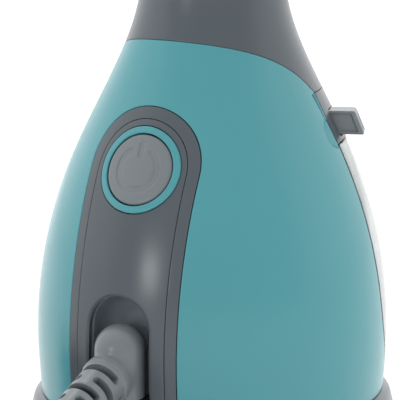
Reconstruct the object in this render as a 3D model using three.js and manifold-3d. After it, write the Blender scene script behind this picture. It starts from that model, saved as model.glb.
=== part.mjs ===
// A hand-held wallpaper steamer: a bottle-shaped body with a clear tank at the front, a grip that
// rises from it, and a steam plate on the head. Millimetres, +Z up, the tank and plate face -Y,
// and the origin lies on the surface that it stands on, under the middle of the body.
import * as THREE from 'three';
import { mergeVertices } from 'three/addons/utils/BufferGeometryUtils.js';
import Module from 'manifold-3d';

const wasm = await Module();
wasm.setup();

// ---- driving dimensions ----
const GAP = 0.3; // between neighbouring pieces
const WALL = 2.2; // moulded shell
const DEPTH = 1.05; // the body's sections are this much deeper than they are wide
const AROUND = 36; // facets round the body
const LEVELS = 15; // and up its outline
const HULL_BOTTOM = 24;
const HULL_TOP = 240;
const SHELL_BOTTOM = 26.6;
const NECK_TOP = 236;

const SEAM_TOP_Y = -5; // the seam between the rear shell and everything in front of it
const SEAM_MID = [-13, 62];
const SEAM_BEND = [-16, 33];
const SEAM_END = [-38, 30];
const COLLAR_BOTTOM = 108.4;
const PARTING_FRONT = 124; // lower edge of the neck at the front
const PARTING_REAR = 144.5; // and at the rear

const PANEL_HALF_WIDTH = 19.2;
const PANEL_ARCH_Z = 103.7; // centre of the round top
const BUTTON_Z = 104.7;
const BUTTON_TILT = 21; // degrees that the button's face looks up
const BUTTON_Y = 45;
const BUTTON_R = 11.1;
const BUTTON_TRAVEL = 2;
const RING_R = 13.7;

const RECESS_HALF_WIDTH = 10.9;
const RECESS_FLOOR = 30.8;
const RECESS_ARCH_Z = 56.6;
const SWIVEL_Y = 56;
const SWIVEL_R = 7.8;
const SWIVEL_BOTTOM = 36.2;
const SWIVEL_TOP = 58.7;
const LEAD_Z = 45.2; // height at which the lead's axis crosses the swivel's axis
const LEAD_SLOPE = 17; // degrees that the lead leaves below the horizontal
const BOOT_START = 6.5; // along the lead's axis, from the swivel's axis
const BOOT_END = 46;

const CORD_D = 7;
const COIL_X = 45;
const COIL_Y = 155;
const COIL_R = 40; // middle of the turns
const COIL_HALF_WIDTH = 10.5;
const COIL_BOTTOM = 1.5;
const COIL_TOP = 29.5;

const LATCH_ANGLE = 24; // degrees that each latch sits forward of the sideways axis
const LATCH_Z = 113.7;
const LATCH_HALF = 3.8; // half the height of a latch's tab

const HEAD_Z = 258;
const HEAD_FRONT = 47.5;
const PLATE_W = 150;
const PLATE_H = 84;
const PLATE_BACK = -47.8;
const PLATE_FRONT = -64;

const FINISH = {
  teal: { color: 0x57a0a8, roughness: 0.32, metalness: 0 },
  grey: { color: 0x636a71, roughness: 0.36, metalness: 0 },
  light_grey: { color: 0x8b9296, roughness: 0.42, metalness: 0 },
  base_grey: { color: 0x8f9499, roughness: 0.45, metalness: 0 },
  inner_grey: { color: 0x3c4045, roughness: 0.6, metalness: 0 },
  clear: { color: 0xdfe6e4, roughness: 0.08, metalness: 0, transparent: true, opacity: 0.35 },
  rubber: { color: 0x2b2d30, roughness: 0.8, metalness: 0 },
  steel: { color: 0xb9bcc0, roughness: 0.25, metalness: 1 },
  brass: { color: 0xb48f48, roughness: 0.3, metalness: 1 },
  aluminium: { color: 0xb5b8ba, roughness: 0.4, metalness: 1 },
  board: { color: 0x2f6b45, roughness: 0.5, metalness: 0 },
  copper: { color: 0xa8694a, roughness: 0.35, metalness: 1 },
};

const rad = THREE.MathUtils.degToRad;
const object = new THREE.Group();

// ---- solids ----

function signedVolume(position, index) {
  const [a, b, c] = [new THREE.Vector3(), new THREE.Vector3(), new THREE.Vector3()];
  let volume = 0;
  for (let i = 0; i < index.length; i += 3) {
    a.fromBufferAttribute(position, index[i]);
    b.fromBufferAttribute(position, index[i + 1]);
    c.fromBufferAttribute(position, index[i + 2]);
    volume += a.dot(b.cross(c)) / 6;
  }
  return volume;
}

// A closed three.js geometry as a solid, with its faces pointing out.
function solid(geometry) {
  geometry.deleteAttribute('normal');
  geometry.deleteAttribute('uv');
  const merged = mergeVertices(geometry, 1e-4);
  const position = merged.getAttribute('position');
  const corners = merged.index.array;
  const index = [];
  for (let i = 0; i < corners.length; i += 3) {
    const [a, b, c] = [corners[i], corners[i + 1], corners[i + 2]];
    if (a !== b && b !== c && c !== a) index.push(a, b, c);
  }
  if (signedVolume(position, index) < 0) index.reverse();
  return new wasm.Manifold(new wasm.Mesh({
    numProp: 3,
    vertProperties: new Float32Array(position.array),
    triVerts: new Uint32Array(index),
  }));
}

function union(...solids) {
  return solids.reduce((all, one) => all.add(one));
}

function moved(shape, x, y, z) {
  return shape.translate([x, y, z]);
}

// A box from its lowest to its highest corner.
function box(low, high) {
  const size = low.map((value, i) => high[i] - value);
  const centre = low.map((value, i) => (value + high[i]) / 2);
  return moved(solid(new THREE.BoxGeometry(...size)), ...centre);
}

// A turned solid about Z from [radius, height] pairs.
function turned(profile, segments = 24) {
  const points = profile.map(([r, z]) => new THREE.Vector2(r, z));
  return solid(new THREE.LatheGeometry(points, segments).rotateX(Math.PI / 2));
}

function rod(radius, low, high, segments = 16) {
  return turned([[0, low], [radius, low], [radius, high], [0, high]], segments);
}

function pipe(inner, outer, low, high, segments = 20) {
  return turned([[inner, low], [outer, low], [outer, high], [inner, high], [inner, low]], segments);
}

// An outline drawn in (y, z) and extruded across the body, centred on x = 0.
function acrossX(shape, width) {
  const geometry = new THREE.ExtrudeGeometry(shape, {
    depth: width, bevelEnabled: false, curveSegments: 10,
  });
  geometry.translate(0, 0, -width / 2);
  const [x, y, z] = [0, 1, 2].map((i) => new THREE.Vector3().setComponent(i, 1));
  return solid(geometry.applyMatrix4(new THREE.Matrix4().makeBasis(y, z, x)));
}

// An outline drawn in (x, z) and extruded from y = near to y = far.
function alongY(shape, near, far, curveSegments = 12) {
  const geometry = new THREE.ExtrudeGeometry(shape, {
    depth: far - near, bevelEnabled: false, curveSegments,
  });
  const [x, y, z] = [0, 1, 2].map((i) => new THREE.Vector3().setComponent(i, 1));
  geometry.applyMatrix4(new THREE.Matrix4().makeBasis(x, z, y.negate()));
  return solid(geometry.translate(0, far, 0));
}

// A tube of round section along a smooth curve through the points.
function tube(points, radius, steps, sides = 8) {
  const section = new THREE.Shape();
  for (let i = 0; i < sides; i += 1) {
    const angle = (i / sides) * 2 * Math.PI;
    const place = [radius * Math.cos(angle), radius * Math.sin(angle)];
    if (i) section.lineTo(...place);
    else section.moveTo(...place);
  }
  const path = new THREE.CatmullRomCurve3(points.map((p) => new THREE.Vector3(...p)));
  return solid(new THREE.ExtrudeGeometry(section, { steps, extrudePath: path }));
}

// A coil spring along Z.
function spring(radius, wire, low, high, turns) {
  const perTurn = 8;
  const count = turns * perTurn;
  const points = [];
  for (let i = 0; i <= count; i += 1) {
    const angle = (i / perTurn) * 2 * Math.PI;
    const z = low + wire + ((high - low - 2 * wire) * i) / count;
    points.push([radius * Math.cos(angle), radius * Math.sin(angle), z]);
  }
  return tube(points, wire, count, 4);
}

function roundedRect(width, height, radius, midZ = 0) {
  const [x, z] = [width / 2, height / 2];
  const shape = new THREE.Shape();
  shape.moveTo(-x + radius, midZ - z);
  shape.lineTo(x - radius, midZ - z);
  shape.absarc(x - radius, midZ - z + radius, radius, -Math.PI / 2, 0);
  shape.absarc(x - radius, midZ + z - radius, radius, 0, Math.PI / 2);
  shape.absarc(-x + radius, midZ + z - radius, radius, Math.PI / 2, Math.PI);
  shape.absarc(-x + radius, midZ - z + radius, radius, Math.PI, Math.PI * 1.5);
  return shape;
}

// A flat-bottomed outline with a half-round top.
function archShape(halfWidth, floor, archZ) {
  const shape = new THREE.Shape();
  shape.moveTo(-halfWidth, floor);
  shape.lineTo(halfWidth, floor);
  shape.lineTo(halfWidth, archZ);
  shape.absarc(0, archZ, halfWidth, 0, Math.PI);
  return shape;
}

// ---- the body's outer form ----

const SILHOUETTE = new THREE.SplineCurve([
  [54.3, HULL_BOTTOM], [55.6, 46], [52.9, 74], [45.2, 100], [33, 126],
  [24.7, 146], [20.8, 170], [19.2, 200], [21.5, NECK_TOP], [22, HULL_TOP],
].map(([r, z]) => new THREE.Vector2(r, z)));

// The whole body drawn in by an amount on every side.
function hull(inset) {
  const outline = SILHOUETTE.getPoints(LEVELS).map((p) => [p.x - inset, p.y]);
  const profile = [[0, HULL_BOTTOM], ...outline, [0, HULL_TOP]];
  return turned(profile, AROUND).scale([1, DEPTH, 1]);
}

const OUTSIDE = hull(0);
const SKIN = OUTSIDE.subtract(hull(WALL));

// Everything in front of the seam, moved back and down by the given amounts.
function frontRegion(back, down) {
  const shape = new THREE.Shape();
  shape.moveTo(-90, PARTING_FRONT + 3);
  shape.lineTo(SEAM_TOP_Y + back, PARTING_FRONT + 3);
  shape.lineTo(SEAM_TOP_Y + back, PARTING_FRONT);
  shape.lineTo(SEAM_MID[0] + back, SEAM_MID[1]);
  shape.quadraticCurveTo(
    SEAM_BEND[0] + back, SEAM_BEND[1] - down, SEAM_END[0] + back, SEAM_END[1] - down,
  );
  shape.lineTo(-90, SEAM_END[1] - down);
  return acrossX(shape, 160);
}

// Everything above the neck's lower edge, which sweeps down from rear to front.
function neckRegion(lift) {
  const shape = new THREE.Shape();
  shape.moveTo(-90, PARTING_FRONT + lift);
  shape.lineTo(SEAM_TOP_Y, PARTING_FRONT + lift);
  shape.quadraticCurveTo(6, PARTING_FRONT + 15 + lift, 30, PARTING_REAR + lift);
  shape.lineTo(90, PARTING_REAR + 1.5 + lift);
  shape.lineTo(90, HULL_TOP + 5);
  shape.lineTo(-90, HULL_TOP + 5);
  return acrossX(shape, 160);
}

function slab(low, high) {
  return box([-90, -90, low], [90, 90, high]);
}

// ---- nodes ----

function node(name, shape, finish, parent = object) {
  const mesh = shape.getMesh();
  const geometry = new THREE.BufferGeometry();
  geometry.setAttribute('position', new THREE.BufferAttribute(mesh.vertProperties, 3));
  geometry.setIndex(new THREE.BufferAttribute(mesh.triVerts, 1));
  geometry.computeVertexNormals();
  const part = new THREE.Mesh(geometry, new THREE.MeshStandardMaterial(FINISH[finish]));
  part.name = name;
  parent.add(part);
}

// A group at a place, turned by an angle in degrees about X.
function frameAt(x, y, z, degrees) {
  const group = new THREE.Group();
  group.position.set(x, y, z);
  group.rotation.x = rad(degrees);
  object.add(group);
  return group;
}

function makeBase() {
  const ring = turned([
    [52.4, 2.2], [55.4, 2.2], [57.2, 7], [57.8, 17.4], [57.6, 20.6], [56.5, 24.2],
    [54.6, SHELL_BOTTOM - GAP],
    [51.6, SHELL_BOTTOM - GAP], [54.2, 17], [54, 9], [52.4, 2.2],
  ], AROUND).scale([1, DEPTH, 1]);
  const screwR = 47.5;
  const corners = [45, 135, 225, 315].map((a) => [
    screwR * Math.cos(rad(a)), screwR * Math.sin(rad(a)),
  ]);
  let base = ring;
  let cover = turned([[0, 2], [51, 2], [51.8, 3], [51.8, 6], [0, 6]], AROUND).scale([1, DEPTH, 1]);
  for (const [x, y] of corners) {
    const turn = (Math.atan2(y, x) * 180) / Math.PI - 90;
    const post = box([-4, -4, 6.4], [4, 9, 18]).rotate([0, 0, turn]);
    base = base.add(moved(post, x, y, 0).intersect(rod(55, 0, 30, AROUND)));
  }
  corners.forEach(([x, y], i) => {
    base = base.subtract(moved(rod(1.8, 0, 16.5, 12), x, y, 0));
    cover = cover.subtract(moved(rod(3.6, 0, 4, 16), x, y, 0));
    cover = cover.subtract(moved(rod(1.9, 0, 8, 12), x, y, 0));
    const screw = union(rod(3.2, 2.2, 3.7, 16), rod(1.5, 3.6, 16, 12))
      .subtract(box([-2, -0.4, 1], [2, 0.4, 2.9]));
    node(`base_screw_${i + 1}`, moved(screw, x, y, 0), 'steel');
  });
  node('base_ring', base, 'base_grey');
  node('bottom_cover', cover, 'inner_grey');
  node('rubber_foot_ring', pipe(34, 40, 0, 1.7, 28), 'rubber');
}

function makeShells() {
  const panelHole = alongY(archShape(PANEL_HALF_WIDTH + GAP / 2, 0, PANEL_ARCH_Z), 5, 90);
  const main = SKIN.intersect(slab(SHELL_BOTTOM, 200))
    .subtract(neckRegion(-GAP / 2))
    .subtract(frontRegion(GAP / 2, GAP / 2))
    .subtract(panelHole);
  node('main_shell', main, 'teal');

  const slot = box([-6.3, -40, 192], [6.3, 0, 230.5]);
  const neck = SKIN.intersect(neckRegion(GAP / 2)).intersect(slab(0, NECK_TOP)).subtract(slot);
  node('neck_shell', neck, 'grey');

  const pad = hull(-1.3).subtract(hull(-GAP)).intersect(slab(164, 226))
    .intersect(alongY(roundedRect(28, 62, 12, 195), 2, 60));
  node('grip_pad', pad, 'rubber');
}

function makeRearPanel() {
  const normal = 90 - BUTTON_TILT;
  const bore = moved(rod(RING_R + GAP, -12, 12, 36).rotate([-normal, 0, 0]), 0, BUTTON_Y, BUTTON_Z);
  const opening = alongY(archShape(RECESS_HALF_WIDTH, RECESS_FLOOR, RECESS_ARCH_Z), 10, 90);
  const panel = SKIN.intersect(alongY(
    archShape(PANEL_HALF_WIDTH - GAP / 2, SHELL_BOTTOM, PANEL_ARCH_Z), 5, 90,
  )).subtract(bore).subtract(opening);
  node('rear_panel', panel, 'grey');

  const wall = 1.5;
  const outer = archShape(RECESS_HALF_WIDTH + wall, RECESS_FLOOR - wall, RECESS_ARCH_Z);
  const inner = archShape(RECESS_HALF_WIDTH, RECESS_FLOOR, RECESS_ARCH_Z);
  const cup = hull(WALL + GAP).intersect(alongY(outer, 44, 90)).subtract(alongY(inner, 45.5, 90));
  node('cord_recess', cup, 'inner_grey');
}

function makePowerButton() {
  const frame = frameAt(0, BUTTON_Y, BUTTON_Z, -(90 - BUTTON_TILT));
  const ring = turned([
    [BUTTON_R + 0.4, -7.4], [16, -7.4], [16, -6.4], [RING_R, -6.4], [RING_R, 0.2],
    [RING_R - 0.5, 0.7], [BUTTON_R + 0.9, 0.7], [BUTTON_R + 0.4, 0.2], [BUTTON_R + 0.4, -7.4],
  ], 30);
  node('button_ring', ring, 'teal', frame);
  const cap = turned([
    [0, -7], [3, -7], [3, -2.2], [9.6, -2.2], [9.6, -5], [BUTTON_R, -5], [BUTTON_R, 0.1],
    [BUTTON_R - 0.7, 0.5], [0, 0.5],
  ], 30);
  node('power_button', cap, 'light_grey', frame);
  node('button_spring', spring(5, 0.45, -9.2, -2.5, 3), 'steel', frame);
  const module = union(box([-8, -7, -20], [8, 7, -9.5]), box([-5, -0.5, -24], [-3, 0.5, -19]),
    box([3, -0.5, -24], [5, 0.5, -19]));
  node('power_switch', module, 'inner_grey', frame);
}

// A shape drawn along +Z, turned to run along the lead as it leaves the swivel.
function alongLead(shape) {
  return moved(shape.rotate([-(90 + LEAD_SLOPE), 0, 0]), 0, SWIVEL_Y, LEAD_Z);
}

function makeSwivel() {
  const seat = new THREE.Shape();
  const seatR = 6.2;
  seat.moveTo(-seatR, 46 - SWIVEL_Y);
  seat.lineTo(seatR, 46 - SWIVEL_Y);
  seat.lineTo(seatR, 0);
  seat.absarc(0, 0, seatR, 0, Math.PI);
  const plate = solid(new THREE.ExtrudeGeometry(seat, {
    depth: 4, bevelEnabled: false, curveSegments: 8,
  }));
  const bearing = moved(plate.subtract(rod(4.1, -2, 8, 24)), 0, SWIVEL_Y, RECESS_FLOOR + GAP);
  node('swivel_bearing', bearing, 'inner_grey');

  const domeZ = SWIVEL_TOP - SWIVEL_R;
  const dome = [22.5, 45, 67.5].map((a) => [
    SWIVEL_R * Math.cos(rad(a)), domeZ + SWIVEL_R * Math.sin(rad(a)),
  ]);
  const drum = turned([
    [0, SWIVEL_BOTTOM - 4.8], [3.8, SWIVEL_BOTTOM - 4.8], [3.8, SWIVEL_BOTTOM],
    [SWIVEL_R, SWIVEL_BOTTOM], [SWIVEL_R, domeZ], ...dome, [0, SWIVEL_TOP],
  ], 32);
  const socket = alongLead(rod(6.9, 0, BOOT_START - GAP, 24));
  node('cord_swivel', moved(drum, 0, SWIVEL_Y, 0).add(socket), 'light_grey');

  const boot = turned([
    [3.8, BOOT_START], [8, BOOT_START], [8, BOOT_START + 3], [7.5, BOOT_START + 3.4], [4.9, BOOT_END],
    [3.8, BOOT_END], [3.8, BOOT_START],
  ], 24);
  const aroundDrum = moved(rod(SWIVEL_R + GAP, 30, 70, 32), 0, SWIVEL_Y, 0);
  node('strain_relief', alongLead(boot).subtract(aroundDrum), 'light_grey');
}

// The lead's route from the boot's tip to where it joins the coil.
const LEAD_ROUTE = [
  [0, 101.1, 31.4], [0, 106, 29.9], [-0.5, 113, 26.9], [-1.8, 120, 23.2], [-4, 127, 18.8],
  [-6.2, 134, 14.2], [-8.4, 141, 10], [-10.4, 148, 6.8], [-11.8, 155, 4.7], [-12.3, 162, 3.8],
  [-11.8, 169, 3.6], [-10, 176, 3.6], [-6.8, 182.4, 3.6], [-2.4, 188.2, 3.6], [3, 193.2, 3.6],
];
// And from where it leaves the coil to the plug.
const TAIL_ROUTE = [
  [99.4, 141, 23.6], [99.6, 134, 20.6], [99.4, 127, 16.6], [98.6, 120, 12.8], [97.6, 113, 10.2],
  [97, 106, 9.6],
];

function makeCord() {
  node('cord_lead', tube(LEAD_ROUTE, CORD_D / 2, 28, 8), 'rubber');
  node('cord_tail', tube(TAIL_ROUTE, CORD_D / 2, 12, 8), 'rubber');
  const [inner, outer] = [COIL_R - COIL_HALF_WIDTH, COIL_R + COIL_HALF_WIDTH];
  const coil = turned([
    [inner + 2, COIL_BOTTOM], [outer - 2, COIL_BOTTOM], [outer, COIL_BOTTOM + 2],
    [outer, COIL_TOP - 2], [outer - 2, COIL_TOP], [inner + 2, COIL_TOP], [inner, COIL_TOP - 2],
    [inner, COIL_BOTTOM + 2], [inner + 2, COIL_BOTTOM],
  ], 28);
  node('cord_coil', moved(coil, COIL_X, COIL_Y, 0), 'rubber');

  const half = COIL_HALF_WIDTH + 1;
  const tall = (COIL_TOP - COIL_BOTTOM) / 2 + 0.4;
  const mid = (COIL_TOP + COIL_BOTTOM) / 2;
  const outerBand = alongY(roundedRect(2 * half + 1.8, 2 * tall + 1.8, 3, mid), -5, 5, 3);
  const innerBand = alongY(roundedRect(2 * half, 2 * tall, 2.4, mid), -6, 6, 3);
  const tie = moved(outerBand.subtract(innerBand), COIL_R, 0, 0).rotate([0, 0, -62]);
  node('coil_tie', moved(tie, COIL_X, COIL_Y, 0), 'rubber');
}

// A three-pin plug that lies on its back, with its pins up.
function makePlug() {
  const plug = frameAt(97, 79, 0, 0);
  const shape = new THREE.Shape();
  shape.moveTo(-24.5, -20);
  shape.lineTo(-24.5, 10);
  shape.quadraticCurveTo(-24.5, 19, -16, 21);
  shape.lineTo(-9, 25.4);
  shape.lineTo(9, 25.4);
  shape.lineTo(16, 21);
  shape.quadraticCurveTo(24.5, 19, 24.5, 10);
  shape.lineTo(24.5, -20);
  shape.quadraticCurveTo(24.5, -25, 19.5, -25);
  shape.lineTo(-19.5, -25);
  shape.quadraticCurveTo(-24.5, -25, -24.5, -20);
  const body = solid(new THREE.ExtrudeGeometry(shape, {
    depth: 18, bevelEnabled: true, bevelThickness: 1, bevelSize: 1, bevelOffset: -1,
    bevelSegments: 1, curveSegments: 5,
  }));
  node('plug_body', moved(body, 0, 0, 1), 'rubber', plug);
  const top = 20 + GAP;
  node('plug_pin_live', box([-14.3, 4, top], [-8, 8, top + 17.4]), 'brass', plug);
  node('plug_pin_neutral', box([8, 4, top], [14.3, 8, top + 17.4]), 'brass', plug);
  node('plug_pin_earth', box([-2, -20.2, top], [2, -12.2, top + 22.4]), 'brass', plug);
}

// Where the filler cap sits on the tank's front wall.
const FILLER = { y: -50.6, z: 88, tilt: 18 };
const CAP_HINGE = { y: 14.4, z: 3.6 };

function fillerPlaced(shape) {
  return moved(shape.rotate([90 - FILLER.tilt, 0, 0]), 0, FILLER.y, FILLER.z);
}

const OUTLET_Z = 42;

function makeTank() {
  const clearance = -GAP / 2;
  const wall = 2.4;
  const outer = OUTSIDE.intersect(frontRegion(clearance, clearance))
    .intersect(slab(0, COLLAR_BOTTOM - GAP));
  const inner = hull(wall).intersect(frontRegion(clearance - wall, clearance - wall))
    .intersect(slab(0, COLLAR_BOTTOM - GAP - wall));
  const knuckle = rod(2, -3.4, 3.4, 12).rotate([0, 90, 0]);
  const ears = [-7, 7].map((x) => moved(
    union(knuckle.scale([0.45, 1, 1]), box([-1.5, -2, -6], [1.5, 2, 0])),
    x, CAP_HINGE.y, CAP_HINGE.z,
  ));
  const pinHole = moved(rod(1.1, -12, 12, 10).rotate([0, 90, 0]), 0, CAP_HINGE.y, CAP_HINGE.z);
  const neckTube = fillerPlaced(rod(11, -5, 1.8, 32));
  const bore = fillerPlaced(rod(8.8, -12, 6, 32));
  const outletHole = moved(rod(4.3, -8, 8, 20).rotate([90, 0, 0]), 0, -22, OUTLET_Z);
  const tank = outer.subtract(inner)
    .add(neckTube.subtract(hull(8)))
    .add(fillerPlaced(union(...ears)).subtract(hull(1)))
    .subtract(fillerPlaced(pinHole)).subtract(bore).subtract(outletHole);
  node('water_tank', tank, 'clear');

  const cap = union(
    turned([[0, 0.2], [6.6, 0.2], [7.8, 2.3], [12.4, 2.3], [12.4, 4.8], [11.6, 5.6], [0, 5.6]], 32),
    moved(knuckle.scale([1.4, 1, 1]), 0, CAP_HINGE.y, CAP_HINGE.z),
    box([-4.7, 8, 2.4], [4.7, CAP_HINGE.y, 5.2]),
    box([-5, -14.6, 2.6], [5, -11, 4.6]),
  ).subtract(pinHole);
  node('filler_cap', fillerPlaced(cap), 'light_grey');
  const pin = moved(rod(0.8, -8.6, 8.6, 10).rotate([0, 90, 0]), 0, CAP_HINGE.y, CAP_HINGE.z);
  node('cap_hinge_pin', fillerPlaced(pin), 'steel');

  const valve = pipe(2.2, 4, 12, 28, 20).rotate([90, 0, 0]);
  node('tank_outlet_valve', moved(valve, 0, 0, OUTLET_Z), 'inner_grey');
  const seal = pipe(4.3, 7, 10.8, 12.8, 20).rotate([90, 0, 0]);
  node('dock_seal', moved(seal, 0, 0, OUTLET_Z), 'rubber');
}

function makeDockAndCollar() {
  const dock = frontRegion(2.6, 2.6).subtract(frontRegion(0.6, 0.6))
    .intersect(hull(WALL + 0.5)).intersect(slab(0, 118))
    .subtract(moved(rod(4.8, -20, 20, 20).rotate([90, 0, 0]), 0, -16, OUTLET_Z));
  node('tank_dock', dock, 'inner_grey');

  const front = frontRegion(-GAP / 2, 0);
  const strip = SKIN.intersect(slab(COLLAR_BOTTOM, PARTING_FRONT - GAP));
  const deck = hull(1).intersect(slab(119.6, 121.6));
  const bar = box([-20, -12, 109.5], [20, -7.4, 120.5]);
  let collar = union(strip, deck, bar).intersect(front);
  for (const side of [-1, 1]) {
    const window = box([26, -4.6, LATCH_Z - LATCH_HALF - 0.4], [60, 4.6, LATCH_Z + LATCH_HALF + 0.4]);
    collar = collar.subtract(turnedToSide(window, side));
  }
  node('front_collar', collar, 'grey');
}

// A shape drawn along +X, turned to where the left or right latch points.
function turnedToSide(shape, side) {
  return shape.rotate([0, 0, side > 0 ? -LATCH_ANGLE : 180 + LATCH_ANGLE]);
}

function makeLatches() {
  for (const [name, side] of [['left', -1], ['right', 1]]) {
    const low = LATCH_Z - LATCH_HALF;
    const high = LATCH_Z + LATCH_HALF;
    const outline = new THREE.Shape();
    outline.moveTo(31, low);
    outline.lineTo(48.4, low);
    outline.lineTo(45.2, high);
    outline.lineTo(31, high);
    const tab = alongY(outline, -4.2, 4.2);
    const flange = box([30, -5.3, low - 1], [32, 5.3, high + 1]);
    node(`tank_latch_${name}`, turnedToSide(union(tab, flange), side), 'light_grey');
    const coil = spring(2.4, 0.4, 23.2, 29.6, 3).rotate([0, 90, 0]);
    node(`latch_spring_${name}`, turnedToSide(moved(coil, 0, 0, LATCH_Z), side), 'steel');
  }
}

const TRIGGER_PIVOT = { y: -13.5, z: 226 };

function makeTrigger() {
  const shape = new THREE.Shape();
  shape.moveTo(-10.5, 222.5);
  shape.lineTo(-10.5, 228.6);
  shape.lineTo(-20.6, 229.4);
  shape.quadraticCurveTo(-31, 212, -25.4, 194.6);
  shape.lineTo(-20.8, 194.6);
  shape.lineTo(-19, 218);
  const hole = rod(1.7, -10, 10, 12).rotate([0, 90, 0]);
  const atPivot = (part) => moved(part, 0, TRIGGER_PIVOT.y, TRIGGER_PIVOT.z);
  node('trigger', acrossX(shape, 11).subtract(atPivot(hole)), 'light_grey');
  node('trigger_pin', atPivot(rod(1.4, -8.6, 8.6, 12).rotate([0, 90, 0])), 'steel');
  const bracket = union(
    box([-8.6, -8.6, 198], [8.6, -7, 231]),
    box([-8.6, -16, 221], [-6.6, -7.5, 231]),
    box([6.6, -16, 221], [8.6, -7.5, 231]),
  ).subtract(atPivot(hole));
  node('trigger_bracket', bracket, 'inner_grey');
  node('trigger_switch', box([-4, -14, 206], [4, -8.9, 217]), 'inner_grey');
  const coil = spring(2, 0.35, 8.9, 20.4, 5).rotate([90, 0, 0]);
  node('trigger_spring', moved(coil, 0, 0, 201), 'steel');
}

function makeInside() {
  const chassis = hull(4).intersect(box([-60, -10, 31], [60, 42, 34]));
  node('chassis', chassis, 'inner_grey');

  const [boilerX, boilerY] = [-17, 14];
  const boiler = turned([
    [3.5, 77], [16, 77], [16, 38], [0, 38], [0, 34.3], [19, 34.3], [19, 76], [20.5, 76],
    [20.5, 80], [3.5, 80], [3.5, 77],
  ], 28);
  node('boiler', moved(boiler, boilerX, boilerY, 0), 'aluminium');
  const element = new THREE.TorusGeometry(10.5, 3, 6, 16);
  node('heating_element', moved(solid(element), boilerX, boilerY, 42), 'copper');
  const thermostat = union(rod(6.5, 80.4, 85, 20), box([-5, -1, 84], [5, 1, 90]));
  node('thermostat', moved(thermostat, -8, 20, 0), 'steel');

  const pump = turned([
    [0, 34.3], [4.5, 34.3], [4.5, 42], [12, 42], [12, 70], [5, 70], [5, 74], [2.6, 74],
    [2.6, 78], [0, 78],
  ], 20);
  node('pump', moved(pump, 24, 14, 0), 'inner_grey');
  node('inlet_tube', tube([[0, -10.4, OUTLET_Z], [3, -6.5, 41.5], [12, -4.5, 39],
    [21, -2.5, 37.6], [24, 3, 37.4], [24, 8.6, 37.4]], 2.4, 14, 6), 'rubber');
  node('outlet_tube', tube([[24, 14, 78.6], [23.4, 13, 87], [13, 7, 93], [-3, 2.5, 92.5],
    [-14, 1.5, 88], [-16.4, 1.5, 80.8]], 2.2, 18, 6), 'rubber');
  node('steam_tube', tube([[boilerX, boilerY, 80.6], [boilerX, boilerY, 92], [-10, 12, 108],
    [-3, 10, 124], [0, 9.5, 145], [0, 9.5, 185], [0, 9.5, 225], [0, 5.5, 244], [0, -5, 255.6],
    [0, -18.4, HEAD_Z]], 3, 30, 6), 'rubber');
  node('circuit_board', box([-14, 43.4, 70.6], [14, 45, 85.6]), 'board');
}

// Shapes drawn about +Z are turned so that +Z points forward along -Y.
function facingForward(shape) {
  return moved(shape.rotate([90, 0, 0]), 0, 0, HEAD_Z);
}

function headForm(inset, front) {
  const flow = new THREE.SplineCurve([
    [14, -22], [19.6, -12], [21.6, 0], [21.8, 16], [25, 34], [31, HEAD_FRONT],
  ].map(([r, s]) => new THREE.Vector2(r, s)));
  const sides = flow.getPoints(7).map((p) => [p.x - inset, p.y]);
  const rear = [[0, -25 + inset], [8, -24 + inset]];
  const nose = turned([...rear, ...sides, [31 - inset, front], [0, front]], 28);
  const stem = rod(21.5 - inset, NECK_TOP + GAP - inset * 2, HEAD_Z, 28).scale([1, DEPTH, 1]);
  return facingForward(nose).add(stem);
}

function makeHead() {
  const window = box([-7.4, -37.4, 268], [7.4, -24.6, 300]);
  const overNeck = hull(-GAP).intersect(slab(0, NECK_TOP + GAP));
  const shell = headForm(0, HEAD_FRONT).subtract(headForm(WALL, HEAD_FRONT + 5))
    .subtract(window).subtract(overNeck);
  node('head_housing', shell, 'grey');
  const nozzle = turned([
    [1.8, 19], [5, 19], [5, 24], [7, 24], [7, 32], [4, 32], [4, 50], [1.8, 50], [1.8, 19],
  ], 20);
  node('steam_nozzle', facingForward(nozzle), 'brass');
  const button = union(
    box([-7, -37, 276], [7, -25, 286]),
    box([-9, -38, 274.5], [9, -24, 276.5]),
  );
  node('release_button', button, 'light_grey');
  node('release_spring', moved(spring(3, 0.4, 265.4, 274.2, 4), 0, -31, 0), 'steel');
}

function makeSteamPlate() {
  const wall = 2;
  const seat = PLATE_FRONT + 5.6; // where the rubber rim meets the housing
  const outer = alongY(roundedRect(PLATE_W, PLATE_H, 14, HEAD_Z), seat, PLATE_BACK, 6);
  const hollow = alongY(
    roundedRect(PLATE_W - 2 * wall, PLATE_H - 2 * wall, 12, HEAD_Z), seat - 5, PLATE_BACK - 2.4, 6,
  );
  const steamHole = facingForward(rod(8, 40, 60, 20));
  node('plate_housing', outer.subtract(hollow).subtract(steamHole), 'grey');

  const faceW = PLATE_W - 2 * wall - 2 * GAP;
  const faceH = PLATE_H - 2 * wall - 2 * GAP;
  let face = alongY(roundedRect(faceW, faceH, 11.7, HEAD_Z), seat + 0.6, seat + 2.2, 6);
  for (let column = -3; column <= 3; column += 1) {
    for (let row = -1; row <= 1; row += 1) {
      const hole = rod(2, -4, 4, 6).rotate([90, 0, 0]);
      face = face.subtract(moved(hole, column * 17, seat + 1, HEAD_Z + row * 19));
    }
  }
  node('steam_face', face, 'aluminium');
  const rim = alongY(roundedRect(PLATE_W, PLATE_H, 14, HEAD_Z), PLATE_FRONT, seat - GAP, 6)
    .subtract(alongY(roundedRect(PLATE_W - 14, PLATE_H - 14, 8, HEAD_Z), -80, -40, 6));
  node('plate_seal', rim, 'rubber');
}

makeBase();
makeShells();
makeRearPanel();
makePowerButton();
makeSwivel();
makeCord();
makePlug();
makeTank();
makeDockAndCollar();
makeLatches();
makeTrigger();
makeInside();
makeHead();
makeSteamPlate();

export default object;
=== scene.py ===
"""The looks of the hand-held wallpaper steamer. Shapes are worked out in millimetres."""
import math

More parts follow.
